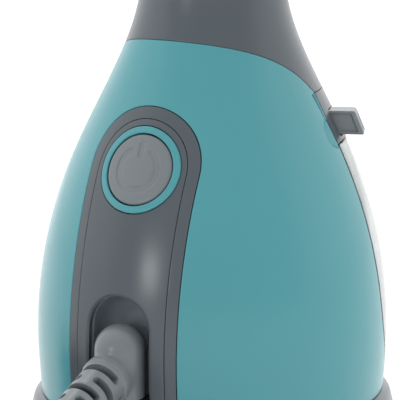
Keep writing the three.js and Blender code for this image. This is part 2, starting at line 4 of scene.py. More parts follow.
import bmesh
import bpy
import numpy as np
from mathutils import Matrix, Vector


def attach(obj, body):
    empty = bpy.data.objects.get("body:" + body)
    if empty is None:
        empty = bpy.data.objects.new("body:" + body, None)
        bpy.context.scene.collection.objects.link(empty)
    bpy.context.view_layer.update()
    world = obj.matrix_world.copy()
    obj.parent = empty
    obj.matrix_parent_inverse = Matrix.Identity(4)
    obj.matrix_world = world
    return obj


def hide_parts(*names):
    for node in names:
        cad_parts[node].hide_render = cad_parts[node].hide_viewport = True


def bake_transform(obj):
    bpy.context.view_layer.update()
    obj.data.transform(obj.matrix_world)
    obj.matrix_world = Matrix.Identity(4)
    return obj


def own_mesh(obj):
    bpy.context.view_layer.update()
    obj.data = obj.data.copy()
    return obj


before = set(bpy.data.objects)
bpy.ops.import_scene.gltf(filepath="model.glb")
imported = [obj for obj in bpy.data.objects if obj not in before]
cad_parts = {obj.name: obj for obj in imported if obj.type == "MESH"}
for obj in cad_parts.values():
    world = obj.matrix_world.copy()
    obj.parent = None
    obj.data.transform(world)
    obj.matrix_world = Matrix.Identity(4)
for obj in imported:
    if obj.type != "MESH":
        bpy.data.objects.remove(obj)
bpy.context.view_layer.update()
scene = bpy.context.scene
MM = 0.001
DEPTH = 1.05  # the body is this much deeper than wide
rad = math.radians

# How far each part stops short of its joint
TEAL_GAP, NECK_GAP, PANEL_GAP, LINE_GAP = 0.08, 0.04, 0.08, 0.06
TANK_GAP, COLLAR_GAP = 0.1, 0.15

# ---- camera ----

AIM = Vector((0.0036, 0.0021, 0.087))
AZIMUTH, ELEVATION, DISTANCE = rad(210.6), rad(12), 0.8
BACK = Vector((
    math.sin(AZIMUTH) * math.cos(ELEVATION),
    -math.cos(AZIMUTH) * math.cos(ELEVATION),
    math.sin(ELEVATION),
))
camera = bpy.data.objects.new("camera", bpy.data.cameras.new("camera"))
scene.collection.objects.link(camera)
camera.location = AIM + BACK * DISTANCE
camera.rotation_euler = (-BACK).to_track_quat("-Z", "Y").to_euler()
camera.data.lens = 225
camera.data.sensor_width = 36
camera.data.clip_end = 20
scene.camera = camera

# ---- materials ----


def linear(rgb):
    """Eight-bit display colour as the linear colour that a shader takes."""
    out = []
    for c in rgb:
        c /= 255
        out.append(c / 12.92 if c <= 0.04045 else ((c + 0.055) / 1.055) ** 2.4)
    return (*out, 1)


class Shader:
    """A material's nodes, with short ways to add and join them."""

    def __init__(self, name):
        self.material = bpy.data.materials.new(name)
        self.material.use_nodes = True
        self.tree = self.material.node_tree
        self.surface = self.tree.nodes["Principled BSDF"]
        coordinates = self.tree.nodes.new("ShaderNodeTexCoord")
        self.where = coordinates.outputs["Object"]

    def noise(self, scale, detail, stretch=None):
        where = self.where
        if stretch:
            mapping = self.tree.nodes.new("ShaderNodeMapping")
            mapping.inputs["Scale"].default_value = stretch
            self.tree.links.new(where, mapping.inputs["Vector"])
            where = mapping.outputs["Vector"]
        node = self.tree.nodes.new("ShaderNodeTexNoise")
        node.inputs["Scale"].default_value = scale
        node.inputs["Detail"].default_value = detail
        self.tree.links.new(where, node.inputs["Vector"])
        return node.outputs["Fac"]

    def spread(self, value, low, high):
        node = self.tree.nodes.new("ShaderNodeMapRange")
        for socket, at in (("From Min", 0.3), ("From Max", 0.7), ("To Min", low), ("To Max", high)):
            node.inputs[socket].default_value = at
        self.tree.links.new(value, node.inputs["Value"])
        return node.outputs["Result"]

    def ramp(self, value, dark, light):
        node = self.tree.nodes.new("ShaderNodeValToRGB")
        node.color_ramp.elements[0].position = 0.3
        node.color_ramp.elements[0].color = dark
        node.color_ramp.elements[1].position = 0.7
        node.color_ramp.elements[1].color = light
        self.tree.links.new(value, node.inputs["Fac"])
        return node.outputs["Color"]

    def bump(self, height, strength, distance):
        node = self.tree.nodes.new("ShaderNodeBump")
        node.inputs["Strength"].default_value = strength
        node.inputs["Distance"].default_value = distance
        self.tree.links.new(height, node.inputs["Height"])
        self.tree.links.new(node.outputs["Normal"], self.surface.inputs["Normal"])

    def join(self, value, socket):
        self.tree.links.new(value, self.surface.inputs[socket])

    def set(self, socket, value):
        self.surface.inputs[socket].default_value = value


def plastic(name, rgb, rough, vary, grain=0.00001):
    shader = Shader(name)
    base = linear(rgb)
    dark = (*[c * (1 - vary) for c in base[:3]], 1)
    light = (*[min(1, c * (1 + vary)) for c in base[:3]], 1)
    shader.join(shader.ramp(shader.noise(22, 3), dark, light), "Base Color")
    shader.join(shader.spread(shader.noise(60, 3), rough - 0.015, rough + 0.02), "Roughness")
    shader.bump(shader.noise(600, 2), 0.05, grain * 0.5)
    shader.set("IOR", 1.46)
    return shader.material


def metal(name, rgb, rough, stretch=None):
    shader = Shader(name)
    base = linear(rgb)
    dark = (*[c * 0.9 for c in base[:3]], 1)
    shader.join(shader.ramp(shader.noise(300, 3, stretch=stretch), dark, base), "Base Color")
    shader.join(shader.spread(shader.noise(900, 3, stretch=stretch), rough - 0.05, rough + 0.08),
                "Roughness")
    shader.bump(shader.noise(1800, 2, stretch=stretch), 0.1, 0.00001)
    shader.set("Metallic", 1.0)
    return shader.material


def clear(name):
    shader = Shader(name)
    tint = linear((166, 174, 174))
    dim = linear((162, 170, 170))
    shader.join(shader.ramp(shader.noise(30, 2), dim, tint), "Base Color")
    shader.join(shader.spread(shader.noise(120, 3), 0.02, 0.07), "Roughness")
    shader.set("IOR", 1.45)
    shader.set("Transmission Weight", 1.0)
    return shader.material


MATERIALS = {
    "teal_plastic": plastic("teal_plastic", (73, 146, 154), 0.24, 0.02),
    "grey_plastic": plastic("grey_plastic", (76, 84, 90), 0.24, 0.025),
    "light_grey_plastic": plastic("light_grey_plastic", (112, 119, 123), 0.3, 0.03),
    "base_grey_plastic": plastic("base_grey_plastic", (108, 113, 117), 0.32, 0.03),
    "inner_plastic": plastic("inner_plastic", (52, 56, 60), 0.5, 0.05, 0.00002),
    "clear_plastic": clear("clear_plastic"),
    "rubber": plastic("rubber", (38, 40, 43), 0.62, 0.08, 0.00003),
    "cord_sheath": plastic("cord_sheath", (28, 30, 32), 0.3, 0.08, 0.00002),
    "steel": metal("steel", (190, 192, 196), 0.24),
    "brass": metal("brass", (196, 160, 92), 0.26, (1, 1, 8)),
    "aluminium": metal("aluminium", (196, 199, 202), 0.34, (9, 1, 1)),
    "board": plastic("board", (46, 106, 70), 0.45, 0.1),
    "copper": metal("copper", (184, 116, 82), 0.3),
}

# ---- making meshes ----


def add_mesh(name, points, faces, weighted=True):
    mesh = bpy.data.meshes.new(name)
    mesh.from_pydata((np.asarray(points) * MM).tolist(), [], faces)
    mesh.validate()
    mesh.shade_smooth()
    obj = bpy.data.objects.new(name, mesh)
    scene.collection.objects.link(obj)
    if weighted:
        modifier = obj.modifiers.new("normals", "WEIGHTED_NORMAL")
        modifier.weight = 60
    return obj


def dress(obj, body, slot, *nodes):
    """Gives a piece its finish, its body and the CAD nodes that it stands for."""
    obj.data.materials.append(MATERIALS[slot])
    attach(obj, body)
    if nodes:
        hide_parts(*nodes)
    return obj


def unit(v):
    return v / np.maximum(np.linalg.norm(v, axis=-1, keepdims=True), 1e-12)


def carried(points, at, *axes):
    """Points out of a frame of their own, from where it is and its three axes."""
    return np.array(at) + points @ np.array(axes)


def slope(field, points, h=0.02):
    """Gradient of a field at some points."""
    out = np.empty_like(points)
    for axis in range(3):
        step = np.zeros(3)
        step[axis] = h
        out[:, axis] = (field(points + step) - field(points - step)) / (2 * h)
    return out


def skin(name, place, us, vs, keep, edge=0.45, depth=2.2, wrap=False):
    """The part of a surface where keep is positive, made a closed sheet with rounded edges."""
    nu, nv = len(us), len(vs)
    u, v = (a.ravel() for a in np.meshgrid(us, vs, indexing="ij"))
    inside = keep(place(u, v)) - edge > 0
    i = np.arange(nu if wrap else nu - 1)[:, None]
    j = np.arange(nv - 1)[None, :]
    a = i * nv + j
    b = ((i + 1) % nu) * nv + j
    quads = np.stack([a, b, b + 1, a + 1], -1).reshape(-1, 4)
    state = inside[quads].sum(1)
    full = quads[state == 4]
    mixed = quads[(state > 0) & (state < 4)]
    pairs = np.concatenate([mixed[:, [k, (k + 1) % 4]] for k in range(4)])
    pairs = pairs[inside[pairs[:, 0]] != inside[pairs[:, 1]]]
    pairs = np.unique(np.sort(pairs, 1), axis=0)
    u0, u1 = u[pairs[:, 0]].copy(), u[pairs[:, 1]].copy()
    v0, v1 = v[pairs[:, 0]], v[pairs[:, 1]]
    if wrap:
        u0 = np.where(u1 - u0 > math.pi, u0 + 2 * math.pi, u0)
    first = inside[pairs[:, 0]]
    low, high = np.zeros(len(pairs)), np.ones(len(pairs))
    for _ in range(14):
        mid = (low + high) / 2
        same = (keep(place(u0 + (u1 - u0) * mid, v0 + (v1 - v0) * mid)) - edge > 0) == first
        low = np.where(same, mid, low)
        high = np.where(same, high, mid)
    mid = (low + high) / 2
    crossing = {tuple(p): len(u) + n for n, p in enumerate(pairs.tolist())}
    u = np.concatenate([u, u0 + (u1 - u0) * mid])
    v = np.concatenate([v, v0 + (v1 - v0) * mid])
    faces = full.tolist()
    border = []
    for quad in mixed.tolist():
        corners = []
        for k in range(4):
            p, q = quad[k], quad[(k + 1) % 4]
            if inside[p]:
                corners.append(p)
            if inside[p] != inside[q]:
                corners.append(crossing[(min(p, q), max(p, q))])
        faces.append(corners)
        for p, q in zip(corners, corners[1:] + corners[:1]):
            if p >= nu * nv and q >= nu * nv:
                border.append((p, q))
    used = np.unique(np.concatenate([np.array(f) for f in faces]))
    order = np.full(len(u), -1)
    order[used] = np.arange(len(used))
    faces = [[int(order[p]) for p in f] for f in faces]
    border = [(int(order[p]), int(order[q])) for p, q in border]
    u, v = u[used], v[used]
    points = place(u, v)
    hu, hv = (us[1] - us[0]) * 0.2, (vs[1] - vs[0]) * 0.2
    normal = unit(np.cross(place(u + hu, v) - place(u - hu, v), place(u, v + hv) - place(u, v - hv)))
    thick = depth(points) if callable(depth) else np.full(len(points), float(depth))
    rim = sorted({p for pair in border for p in pair})
    ring = {p: n for n, p in enumerate(rim)}
    at, up = points[rim], normal[rim]
    fall = slope(keep, at)
    out = -unit(fall - (fall * up).sum(1, keepdims=True) * up)
    rows = [at + out * edge * math.sin(t) - up * edge * (1 - math.cos(t))
            for t in (rad(30), rad(60), rad(90))]
    rows.append(at + out * edge - up * thick[rim][:, None])
    total = len(points)
    allpoints = np.concatenate([points, *rows, points - normal * thick[:, None]])
    back = total + len(rim) * len(rows)
    for p, q in border:
        level = [(p, q)]
        level += [(total + k * len(rim) + ring[p], total + k * len(rim) + ring[q])
                  for k in range(len(rows))]
        level.append((back + p, back + q))
        for (p0, q0), (p1, q1) in zip(level, level[1:]):
            faces.append([q0, p0, p1, q1])
    faces += [[back + p for p in reversed(f)] for f in faces if max(f) < total]
    return add_mesh(name, allpoints, faces)


def implicit(name, field, low, high, step):
    """The closed surface where a field is zero, negative inside."""
    axes = [np.arange(a - step, b + 2 * step, step) for a, b in zip(low, high)]
    grid = np.stack(np.meshgrid(*axes, indexing="ij"), -1)
    value = field(grid.reshape(-1, 3)).reshape(grid.shape[:3])
    inside = value < 0
    shape = tuple(n - 1 for n in value.shape)
    total = np.zeros((*shape, 3))
    count = np.zeros(shape)
    crossings = []
    for axis in range(3):
        one = [slice(None)] * 3
        two = [slice(None)] * 3
        one[axis], two[axis] = slice(0, -1), slice(1, None)
        one, two = tuple(one), tuple(two)
        crossed = np.argwhere(inside[one] != inside[two])
        others = [k for k in range(3) if k != axis]
        ok = np.all([(crossed[:, k] > 0) & (crossed[:, k] < value.shape[k] - 1) for k in others], 0)
        crossed = crossed[ok]
        start = tuple(crossed.T)
        end = crossed.copy()
        end[:, axis] += 1
        f0, f1 = value[start], value[tuple(end.T)]
        spot = grid[start].copy()
        spot[:, axis] += step * f0 / (f0 - f1)
        around = []
        for da, db in ((0, 0), (1, 0), (1, 1), (0, 1)):
            c = crossed.copy()
            c[:, others[0]] -= da
            c[:, others[1]] -= db
            key = tuple(c.T)
            np.add.at(total, key, spot)
            np.add.at(count, key, 1)
            around.append(c)
        crossings.append((axis, inside[start], around))
    filled = count > 0
    cell = np.full(shape, -1)
    cell[filled] = np.arange(filled.sum())
    points = total[filled] / count[filled][:, None]
    quads = []
    for axis, starts_inside, around in crossings:
        ids = np.stack([cell[tuple(c.T)] for c in around], -1)
        turn = starts_inside if axis != 1 else ~starts_inside
        quads.append(np.where(turn[:, None], ids[:, ::-1], ids))
    for _ in range(4):
        gradient = slope(field, points)
        size = np.maximum((gradient * gradient).sum(1), 0.05)
        shift = (field(points) / size)[:, None] * gradient
        far = np.linalg.norm(shift, axis=1, keepdims=True)
        points = points - shift * np.minimum(1, 0.5 * step / np.maximum(far, 1e-9))
    return add_mesh(name, points, np.concatenate(quads).tolist(), weighted=False)


def fillet(points, radius, closed=False, parts=5):
    """A polyline with its corners rounded. A point may carry its own radius as a third value."""
    out = []
    count = len(points)
    for n, point in enumerate(points):
        here = np.array(point[:2], float)
        r = point[2] if len(point) > 2 else radius
        if not closed and n in (0, count - 1) or r <= 0:
            out.append(here)
            continue
        before = np.array(points[n - 1][:2], float) - here
        after = np.array(points[(n + 1) % count][:2], float) - here
        lb, la = np.linalg.norm(before), np.linalg.norm(after)
        before, after = before / lb, after / la
        angle = math.acos(max(-1, min(1, float(before @ after))))
        if angle > rad(176):
            out.append(here)
            continue
        reach = min(r / math.tan(angle / 2), 0.48 * lb, 0.48 * la)
        for k in range(parts + 1):
            t = k / parts
            p = here + before * reach * (1 - t)
            q = here + after * reach * t
            out.append(p * (1 - t) + q * t)
    return np.array(out)


def lathe(name, profile, radius, segments, deep=1.0, place=None, closed=True):
    """A turned piece about Z from (radius, height) corners, which are rounded."""
    line = fillet(profile, radius, closed)
    if closed:
        line = np.concatenate([line, line[:1]])
    angle = np.arange(segments) * 2 * math.pi / segments
    r = np.repeat(line[:, 0][None], segments, 0)
    z = np.repeat(line[:, 1][None], segments, 0)
    points = np.stack([r * np.cos(angle)[:, None], r * np.sin(angle)[:, None] * deep, z], -1)
    n = len(line)
    points = points.reshape(-1, 3)
    if place is not None:
        points = place(points)
    faces = []
    for i in range(segments):
        for j in range(n - 1):
            a = i * n + j
            b = ((i + 1) % segments) * n + j
            if max(line[j, 0], line[j + 1, 0]) > 1e-6:
                faces.append([a, b, b + 1, a + 1])
    obj = add_mesh(name, points, faces)
    weld(obj)
    return obj


def weld(obj):
    """Joins points that lie together and turns the faces out."""
    bm = bmesh.new()
    bm.from_mesh(obj.data)
    bmesh.ops.remove_doubles(bm, verts=bm.verts, dist=0.01 * MM)
    bmesh.ops.recalc_face_normals(bm, faces=bm.faces)
    bm.to_mesh(obj.data)
    bm.free()
    obj.data.shade_smooth()


# ---- distances ----


def length(*parts):
    return np.sqrt(sum(p * p for p in parts))


def least(*fields):
    return np.minimum.reduce(fields)


def most(*fields):
    return np.maximum.reduce(fields)


def corner(a, b, radius):
    """Where both fields are negative, with the edge that they share rounded."""
    a, b = a + radius, b + radius
    return length(np.maximum(a, 0), np.maximum(b, 0)) + np.minimum(most(a, b), 0) - radius


def rounded_box(p, centre, half, radius):
    q = np.abs(p - np.array(centre)) - (np.array(half) - radius)
    return length(*np.maximum(q, 0).T) + np.minimum(q.max(1), 0) - radius


def cylinder(p, axis, centre, radius, half, edge=0.3):
    q = p - np.array(centre)
    others = [k for k in range(3) if k != axis]
    return corner(length(q[:, others[0]], q[:, others[1]]) - radius, np.abs(q[:, axis]) - half, edge)


def join(a, b, k):
    """Union of two fields with a fillet."""
    h = np.clip(0.5 + 0.5 * (b - a) / k, 0, 1)
    return b * (1 - h) + a * h - k * h * (1 - h)


def cut(a, b, k):
    """The first field less the second, with its edge rounded."""
    return -join(-a, b, k)


def both(a, b, k):
    """The space that two fields share, with its edge rounded."""
    return -join(-a, -b, k)


def outline_distance(x, y, outline):
    """Distance to a closed outline, positive inside it."""
    best = np.full(x.shape, 1e12)
    inside = np.zeros(x.shape, bool)
    for (x0, y0), (x1, y1) in zip(outline, np.roll(outline, -1, 0)):
        dx, dy = x1 - x0, y1 - y0
        size = dx * dx + dy * dy
        if size < 1e-12:
            continue
        t = np.clip(((x - x0) * dx + (y - y0) * dy) / size, 0, 1)
        best = np.minimum(best, (x - x0 - t * dx) ** 2 + (y - y0 - t * dy) ** 2)
        if dy != 0:
            inside ^= ((y0 > y) != (y1 > y)) & (x < x0 + (y - y0) * dx / dy)
    return np.where(inside, 1, -1) * np.sqrt(best)


def arch(x, z, half, centre):
    """Distance inside a round-topped outline without a floor."""
    return half - np.where(z < centre, np.abs(x), length(x, z - centre))


def quadratic(start, bend, end, parts=14):
    t = np.linspace(0, 1, parts + 1)[:, None]
    start, bend, end = np.array(start), np.array(bend), np.array(end)
    return (1 - t) ** 2 * start + 2 * t * (1 - t) * bend + t * t * end


# ---- the body's outer form ----

HULL = np.array([
    (54.3, 24), (55.6, 46), (52.9, 74), (45.2, 100), (33, 126),
    (24.7, 146), (20.8, 170), (19.2, 200), (21.5, 236), (22.6, 246),
], float)


def natural_spline(x, y, parts=2400):
    """Dense points of the natural cubic through (x, y)."""
    n = len(x)
    h = np.diff(x)
    matrix = np.eye(n)
    side = np.zeros(n)
    for k in range(1, n - 1):
        matrix[k, k - 1:k + 2] = h[k - 1], 2 * (h[k - 1] + h[k]), h[k]
        side[k] = 6 * ((y[k + 1] - y[k]) / h[k] - (y[k] - y[k - 1]) / h[k - 1])
    bend = np.linalg.solve(matrix, side)
    dense = np.linspace(x[0], x[-1], parts)
    k = np.clip(np.searchsorted(x, dense) - 1, 0, n - 2)
    a = (x[k + 1] - dense) / h[k]
    b = (dense - x[k]) / h[k]
    curve = a * y[k] + b * y[k + 1]
    curve += ((a ** 3 - a) * bend[k] + (b ** 3 - b) * bend[k + 1]) * h[k] ** 2 / 6
    return dense, curve


HULL_Z, HULL_R = natural_spline(HULL[:, 1], HULL[:, 0])


def hull_radius(z):
    return np.interp(z, HULL_Z, HULL_R)


def on_hull(out=0.0):
    """The body's surface, drawn out by an amount, by angle and height."""
    def place(angle, z):
        r = hull_radius(z) + (out(angle, z) if callable(out) else out)
        return np.stack([r * np.cos(angle), DEPTH * r * np.sin(angle), z], -1)
    return place


def inside_hull(p, inset=0.0):
    """How far a point is inside the body's surface."""
    return hull_radius(p[:, 2]) - inset - length(p[:, 0], p[:, 1] / DEPTH)


SEAM = np.concatenate([
    [(-5, 124)], quadratic((-13, 62), (-16, 33), (-38, 30)),
])
FRONT = np.concatenate([[(-200, 127), (-5, 127)], SEAM, [(-200, 30)]])
PARTING = quadratic((-5, 124), (6, 137), (30, 142.6))
NECK = np.concatenate([[(-200, 124)], PARTING, [(90, 144), (90, 300), (-200, 300)]])
ANGLES = np.arange(360) * 2 * math.pi / 360


def front_region(p):
    return outline_distance(p[:, 1], p[:, 2], FRONT)


def neck_region(p):
    return outline_distance(p[:, 1], p[:, 2], NECK)


PANEL_HALF, PANEL_ARCH = 19.2, 103.7
PANEL_LINE = 3.6  # the fine joint runs this far inside the panel's edge


def panel_region(p, inset=0.0):
    return np.where(p[:, 1] > 0, arch(p[:, 0], p[:, 2], PANEL_HALF - inset, PANEL_ARCH), -50.0)


# ---- body shells ----


SHELL_FOOT, NECK_TOP = 26.6, 236


def keep_main(p):
    return least(
        -front_region(p) - TEAL_GAP, -neck_region(p) - NECK_GAP,
        -panel_region(p) - PANEL_GAP, p[:, 2] - SHELL_FOOT,
    )


def teal_surface(angle, z):
    """A finger hollow beside each latch, and the fine crease that runs down from the neck."""
    r = hull_radius(z)
    y = DEPTH * r * np.sin(angle)
    scoop = 1 - ((y + 6.8) / 5.4) ** 2 - ((z - 111.4) / 4.4) ** 2
    hollow = 1.1 * np.clip(scoop / 0.12, 0, 1) * np.clip((y + 7.4) / 5, 0, 1)
    along_it = np.clip((123.6 - z) / 8.6, 0, 1)
    across = np.abs(y + 3.4 + 1.5 * along_it)
    crease = 1.8 * np.maximum(1 - across / (0.15 + 0.75 * (1 - along_it)), 0)
    crease = np.where((z < 123.6) & (z > 115), crease, 0)
    return -np.maximum(hollow, crease)


TEAL_ANGLES = np.concatenate([
    np.arange(6, 174, 1.0), np.arange(174, 196, 0.3), np.arange(196, 344, 1.0),
    np.arange(344, 366, 0.3),
]) * math.pi / 180
TEAL_LEVELS = np.concatenate([
    np.arange(24.2, 104, 1.0), np.arange(104.2, 126, 0.35), np.arange(126.5, 150, 1.0),
])
main_shell = skin("shell_teal", on_hull(teal_surface), TEAL_ANGLES, TEAL_LEVELS, keep_main,
                  edge=0.25, wrap=True)
dress(main_shell, "root", "teal_plastic", "main_shell")


def trigger_slot(p):
    d = -corner(np.abs(p[:, 0]) - 6.3, np.abs(p[:, 2] - 211.25) - 19.25, 2.0)
    return np.where(p[:, 1] < 0, d, -50.0)


def keep_neck(p):
    return least(neck_region(p) - NECK_GAP, NECK_TOP - p[:, 2], -trigger_slot(p))


neck_shell = skin("shell_neck", on_hull(), ANGLES, np.arange(122, 239, 1.0), keep_neck,
                  edge=0.22, wrap=True)
dress(neck_shell, "root", "grey_plastic", "neck_shell")


PAD_Z = 195


def pad_surface(angle, z):
    """The pad stands out from the neck, with a groove at every fifth millimetre."""
    phase = np.abs((z - PAD_Z + 2.5) % 5 - 2.5)
    return 1.3 - 0.45 * np.exp(-(phase / 0.55) ** 2)


def keep_pad(p):
    d = -corner(np.abs(p[:, 0]) - 14, np.abs(p[:, 2] - PAD_Z) - 31, 12.0)
    return np.where(p[:, 1] > 0, d, -50.0)


grip_pad = skin("grip_pad_rubber", on_hull(pad_surface), np.linspace(rad(30), rad(150), 110),
                np.arange(162, 228, 0.25), keep_pad, edge=0.5, depth=0.75)
dress(grip_pad, "root", "rubber", "grip_pad")

# ---- rear panel, its button and the pocket ----

BUTTON_AT = np.array([0, 45, 104.7])
BUTTON_TILT = rad(21)
BUTTON_OUT = np.array([0, math.cos(BUTTON_TILT), math.sin(BUTTON_TILT)])
BUTTON_UP = np.array([0, -math.sin(BUTTON_TILT), math.cos(BUTTON_TILT)])
BUTTON_ACROSS = np.array([-1.0, 0, 0])  # to the right, seen from outside
BUTTON_FLAT, BUTTON_EDGE, BUTTON_HOLE = 10.2, 0.9, 13.95
POCKET_HALF, POCKET_ARCH, POCKET_FOOT = 10.6, 56.6, 30.8


def on_button(points):
    """From the button's own frame (across, up, out). Its faces follow the body's curve."""
    flat = BUTTON_AT + points[:, :1] * BUTTON_ACROSS + points[:, 1:2] * BUTTON_UP
    lift = np.zeros((len(points), 1))
    for _ in range(6):
        lift += inside_hull(flat + lift * BUTTON_OUT)[:, None]
    level = np.clip((points[:, 2:] + 3) / 2, 0, 1)
    return flat + (points[:, 2:] + lift * level) * BUTTON_OUT


def button_radius(p):
    q = p - BUTTON_AT
    return length(q @ BUTTON_ACROSS, q @ BUTTON_UP)


def pocket(p):
    return least(arch(p[:, 0], p[:, 2], POCKET_HALF, POCKET_ARCH), p[:, 2] - POCKET_FOOT)


REAR = np.linspace(rad(55), rad(125), 190)


def keep_frame(p):
    return least(panel_region(p, PANEL_GAP), -panel_region(p, PANEL_LINE - LINE_GAP),
                 p[:, 2] - SHELL_FOOT)


def keep_panel(p):
    return least(panel_region(p, PANEL_LINE + LINE_GAP), button_radius(p) - BUTTON_HOLE,
                 -pocket(p), p[:, 2] - SHELL_FOOT)


def pocket_lip(angle, z):
    """The panel rolls into the pocket."""
    lip = 1.1
    off = -pocket(on_hull()(angle, z))
    t = np.clip((lip - off) / lip, 0, 0.95)
    return -lip * (1 - np.sqrt(1 - t * t))


panel_frame = skin("panel_border", on_hull(), REAR, np.arange(25, 127, 0.6), keep_frame,
                   edge=0.18, depth=2.2)
dress(panel_frame, "root", "grey_plastic")
panel_face = skin("panel_face", on_hull(pocket_lip), REAR, np.arange(25, 127, 0.45), keep_panel,
                  edge=0.18, depth=2.2)
dress(panel_face, "root", "grey_plastic", "rear_panel")


def pocket_cup(p):
    inner = pocket(p)
    outer = least(inner + 1.5, p[:, 1] - 44, inside_hull(p, 2.4))
    cavity = both(-inner, 47.4 - p[:, 1], 6.5)
    return both(-outer, -cavity, 0.2)


cup = implicit("swivel_pocket", pocket_cup, (-13, 43, 28), (13, 60, 70), 0.6)
dress(cup, "root", "grey_plastic", "cord_recess")
# The pocket's inside is a lighter grey than the panel's own grey: painted light standing in for the
# light that reaches into the hollow
cup.data.materials[0] = plastic("pocket_plastic_painted_light", (112, 119, 127), 0.3, 0.03)

button_ring = lathe(
    "button_ring_teal",
    [(11.5, -7.4), (16, -7.4), (16, -6.4), (13.7, -6.4, 0.2), (13.7, -1, 0), (13.7, 0.35, 0.5),
     (11.45, 0.35, 0.5), (11.45, -1, 0)],
    0.3, 160, place=on_button,
)
dress(button_ring, "root", "teal_plastic", "button_ring")


def symbol_depth(x, y):
    """The power mark cut into the button: an open ring and a bar."""
    turn = np.abs(np.arctan2(x, -y))
    ring = length(np.abs(length(x, y) - 6.6), np.maximum(turn - rad(147), 0) * 6.6) - 1.0
    bar = length(x, np.maximum(np.abs(y - 6.1) - 1.8, 0)) - 0.95
    return 0.32 / (1 + np.exp(np.minimum(ring, bar) / 0.09))


def make_button():
    rings = np.concatenate([np.linspace(0, BUTTON_FLAT, 86),
                            BUTTON_FLAT + BUTTON_EDGE * np.sin(np.linspace(0, math.pi / 2, 6)[1:])])
    segments = 220
    angle = np.arange(segments) * 2 * math.pi / segments
    r, a = np.meshgrid(rings, angle, indexing="ij")
    x, y = r * np.cos(a), r * np.sin(a)
    t = np.clip((r - BUTTON_FLAT) / BUTTON_EDGE, 0, 1)
    z = 0.3 - symbol_depth(x, y) - 0.75 * (1 - np.sqrt(np.maximum(1 - t * t, 0)))
    top = np.stack([x, y, z], -1).reshape(-1, 3)
    outer = rings[-1]
    side = np.stack([outer * np.cos(angle), outer * np.sin(angle), np.full(segments, -5.0)], -1)
    points = np.concatenate([top, side])
    faces = []
    for i in range(len(rings)):
        for j in range(segments):
            k = (j + 1) % segments
            faces.append([i * segments + j, (i + 1) * segments + j, (i + 1) * segments + k,
                          i * segments + k])
    obj = add_mesh("button_face", on_button(points), faces)
    weld(obj)
    return obj


button = make_button()
dress(button, "power_button", "light_grey_plastic", "power_button")

# ---- the cord's swivel and its boot ----

SWIVEL_Y, LEAD_Z = 56.0, 45.2
DRUM_R, DRUM_DOME = 7.8, 50.9
LEAD_FALL = rad(17)
LEAD = np.array([0, math.cos(LEAD_FALL), -math.sin(LEAD_FALL)])
LEAD_UP = np.array([0, math.sin(LEAD_FALL), math.cos(LEAD_FALL)])
SIDE = np.array([1.0, 0, 0])
LEAD_AT = np.array([0, SWIVEL_Y, LEAD_Z])


def drum(p):
    """A round-topped drum with the boot's socket, on a journal."""
    x, y, z = p[:, 0], p[:, 1] - SWIVEL_Y, p[:, 2]
    body = length(x, y, np.maximum(z - DRUM_DOME, 0)) - DRUM_R
    body = both(body, 36.2 - z, 0.5)
    foot = cylinder(p, 2, (0, SWIVEL_Y, 34.2), 3.8, 2.8, 0.3)
    q = p - LEAD_AT
    socket = np.maximum(length(q @ SIDE, q @ LEAD_UP) - 7.2, np.abs(q @ LEAD - 3.1) - 3.1)
    return np.minimum(join(body, socket, 1.5), foot)


swivel = implicit("swivel_drum", drum, (-8.5, 47.5, 31), (8.5, 65, 59), 0.4)
dress(swivel, "cord_swivel", "light_grey_plastic", "cord_swivel")


def seat_shape(p):
    plate = np.minimum(cylinder(p, 2, (0, SWIVEL_Y, 33.1), 6.2, 2),
                       rounded_box(p, (0, 51, 33.1), (6.2, 5, 2), 0.3))
    return np.maximum(plate, 4.1 - length(p[:, 0], p[:, 1] - SWIVEL_Y))


bearing = implicit("swivel_seat", seat_shape, (-7, 45, 30.5), (7, 63, 36), 0.4)
dress(bearing, "root", "inner_plastic", "swivel_bearing")

BOOT_START, BOOT_END = 6.5, 46.0
BOOT_THICK, BOOT_THIN = 7.4, 4.9


def boot_radius(s):
    """The boot's outside, with a raised collar at its thick end."""
    taper = (BOOT_THIN - BOOT_THICK) * np.clip((s - 10) / (BOOT_END - 10), 0, 1)
    return BOOT_THICK + taper + 0.6 / (1 + np.exp((s - 9.6) / 0.12))


def on_lead(points):
    return carried(points, LEAD_AT, SIDE, -LEAD_UP, LEAD)


def on_boot(angle, s):
    r = boot_radius(s)
    return on_lead(np.stack([r * np.cos(angle), r * np.sin(angle), s], -1))


def keep_boot(p):
    q = p - LEAD_AT
    s = q @ LEAD
    angle = np.arctan2(q @ LEAD_UP, q @ SIDE)
    kept = least(s - BOOT_START, BOOT_END - s, length(p[:, 0], p[:, 1] - SWIVEL_Y) - 8.3)
    for row in range(7):
        turn = rad(90) * ((row + 1) % 2)
        off = (angle - turn + rad(90)) % rad(180) - rad(90)
        arc = np.maximum(np.abs(off) - rad(60), 0) * boot_radius(s)
        kept = np.minimum(kept, length(arc, s - 11.9 - 5.0 * row) - 1.35)
    return kept


boot = skin("boot_slotted", on_boot, np.arange(180) * 2 * math.pi / 180,
            np.arange(4.8, 47.8, 0.3), keep_boot, edge=0.22,
            depth=lambda p: np.maximum(boot_radius((p - LEAD_AT) @ LEAD) - 3.7, 0.6), wrap=True)
dress(boot, "cord_swivel", "light_grey_plastic", "strain_relief")


core = lathe("cord_core", [(0, 0), (3.5, 0), (3.5, 45.5), (0, 45.5)], 0.1, 48, place=on_lead,
             closed=False)
dress(core, "cord_swivel", "cord_sheath")

# ---- the cord ----

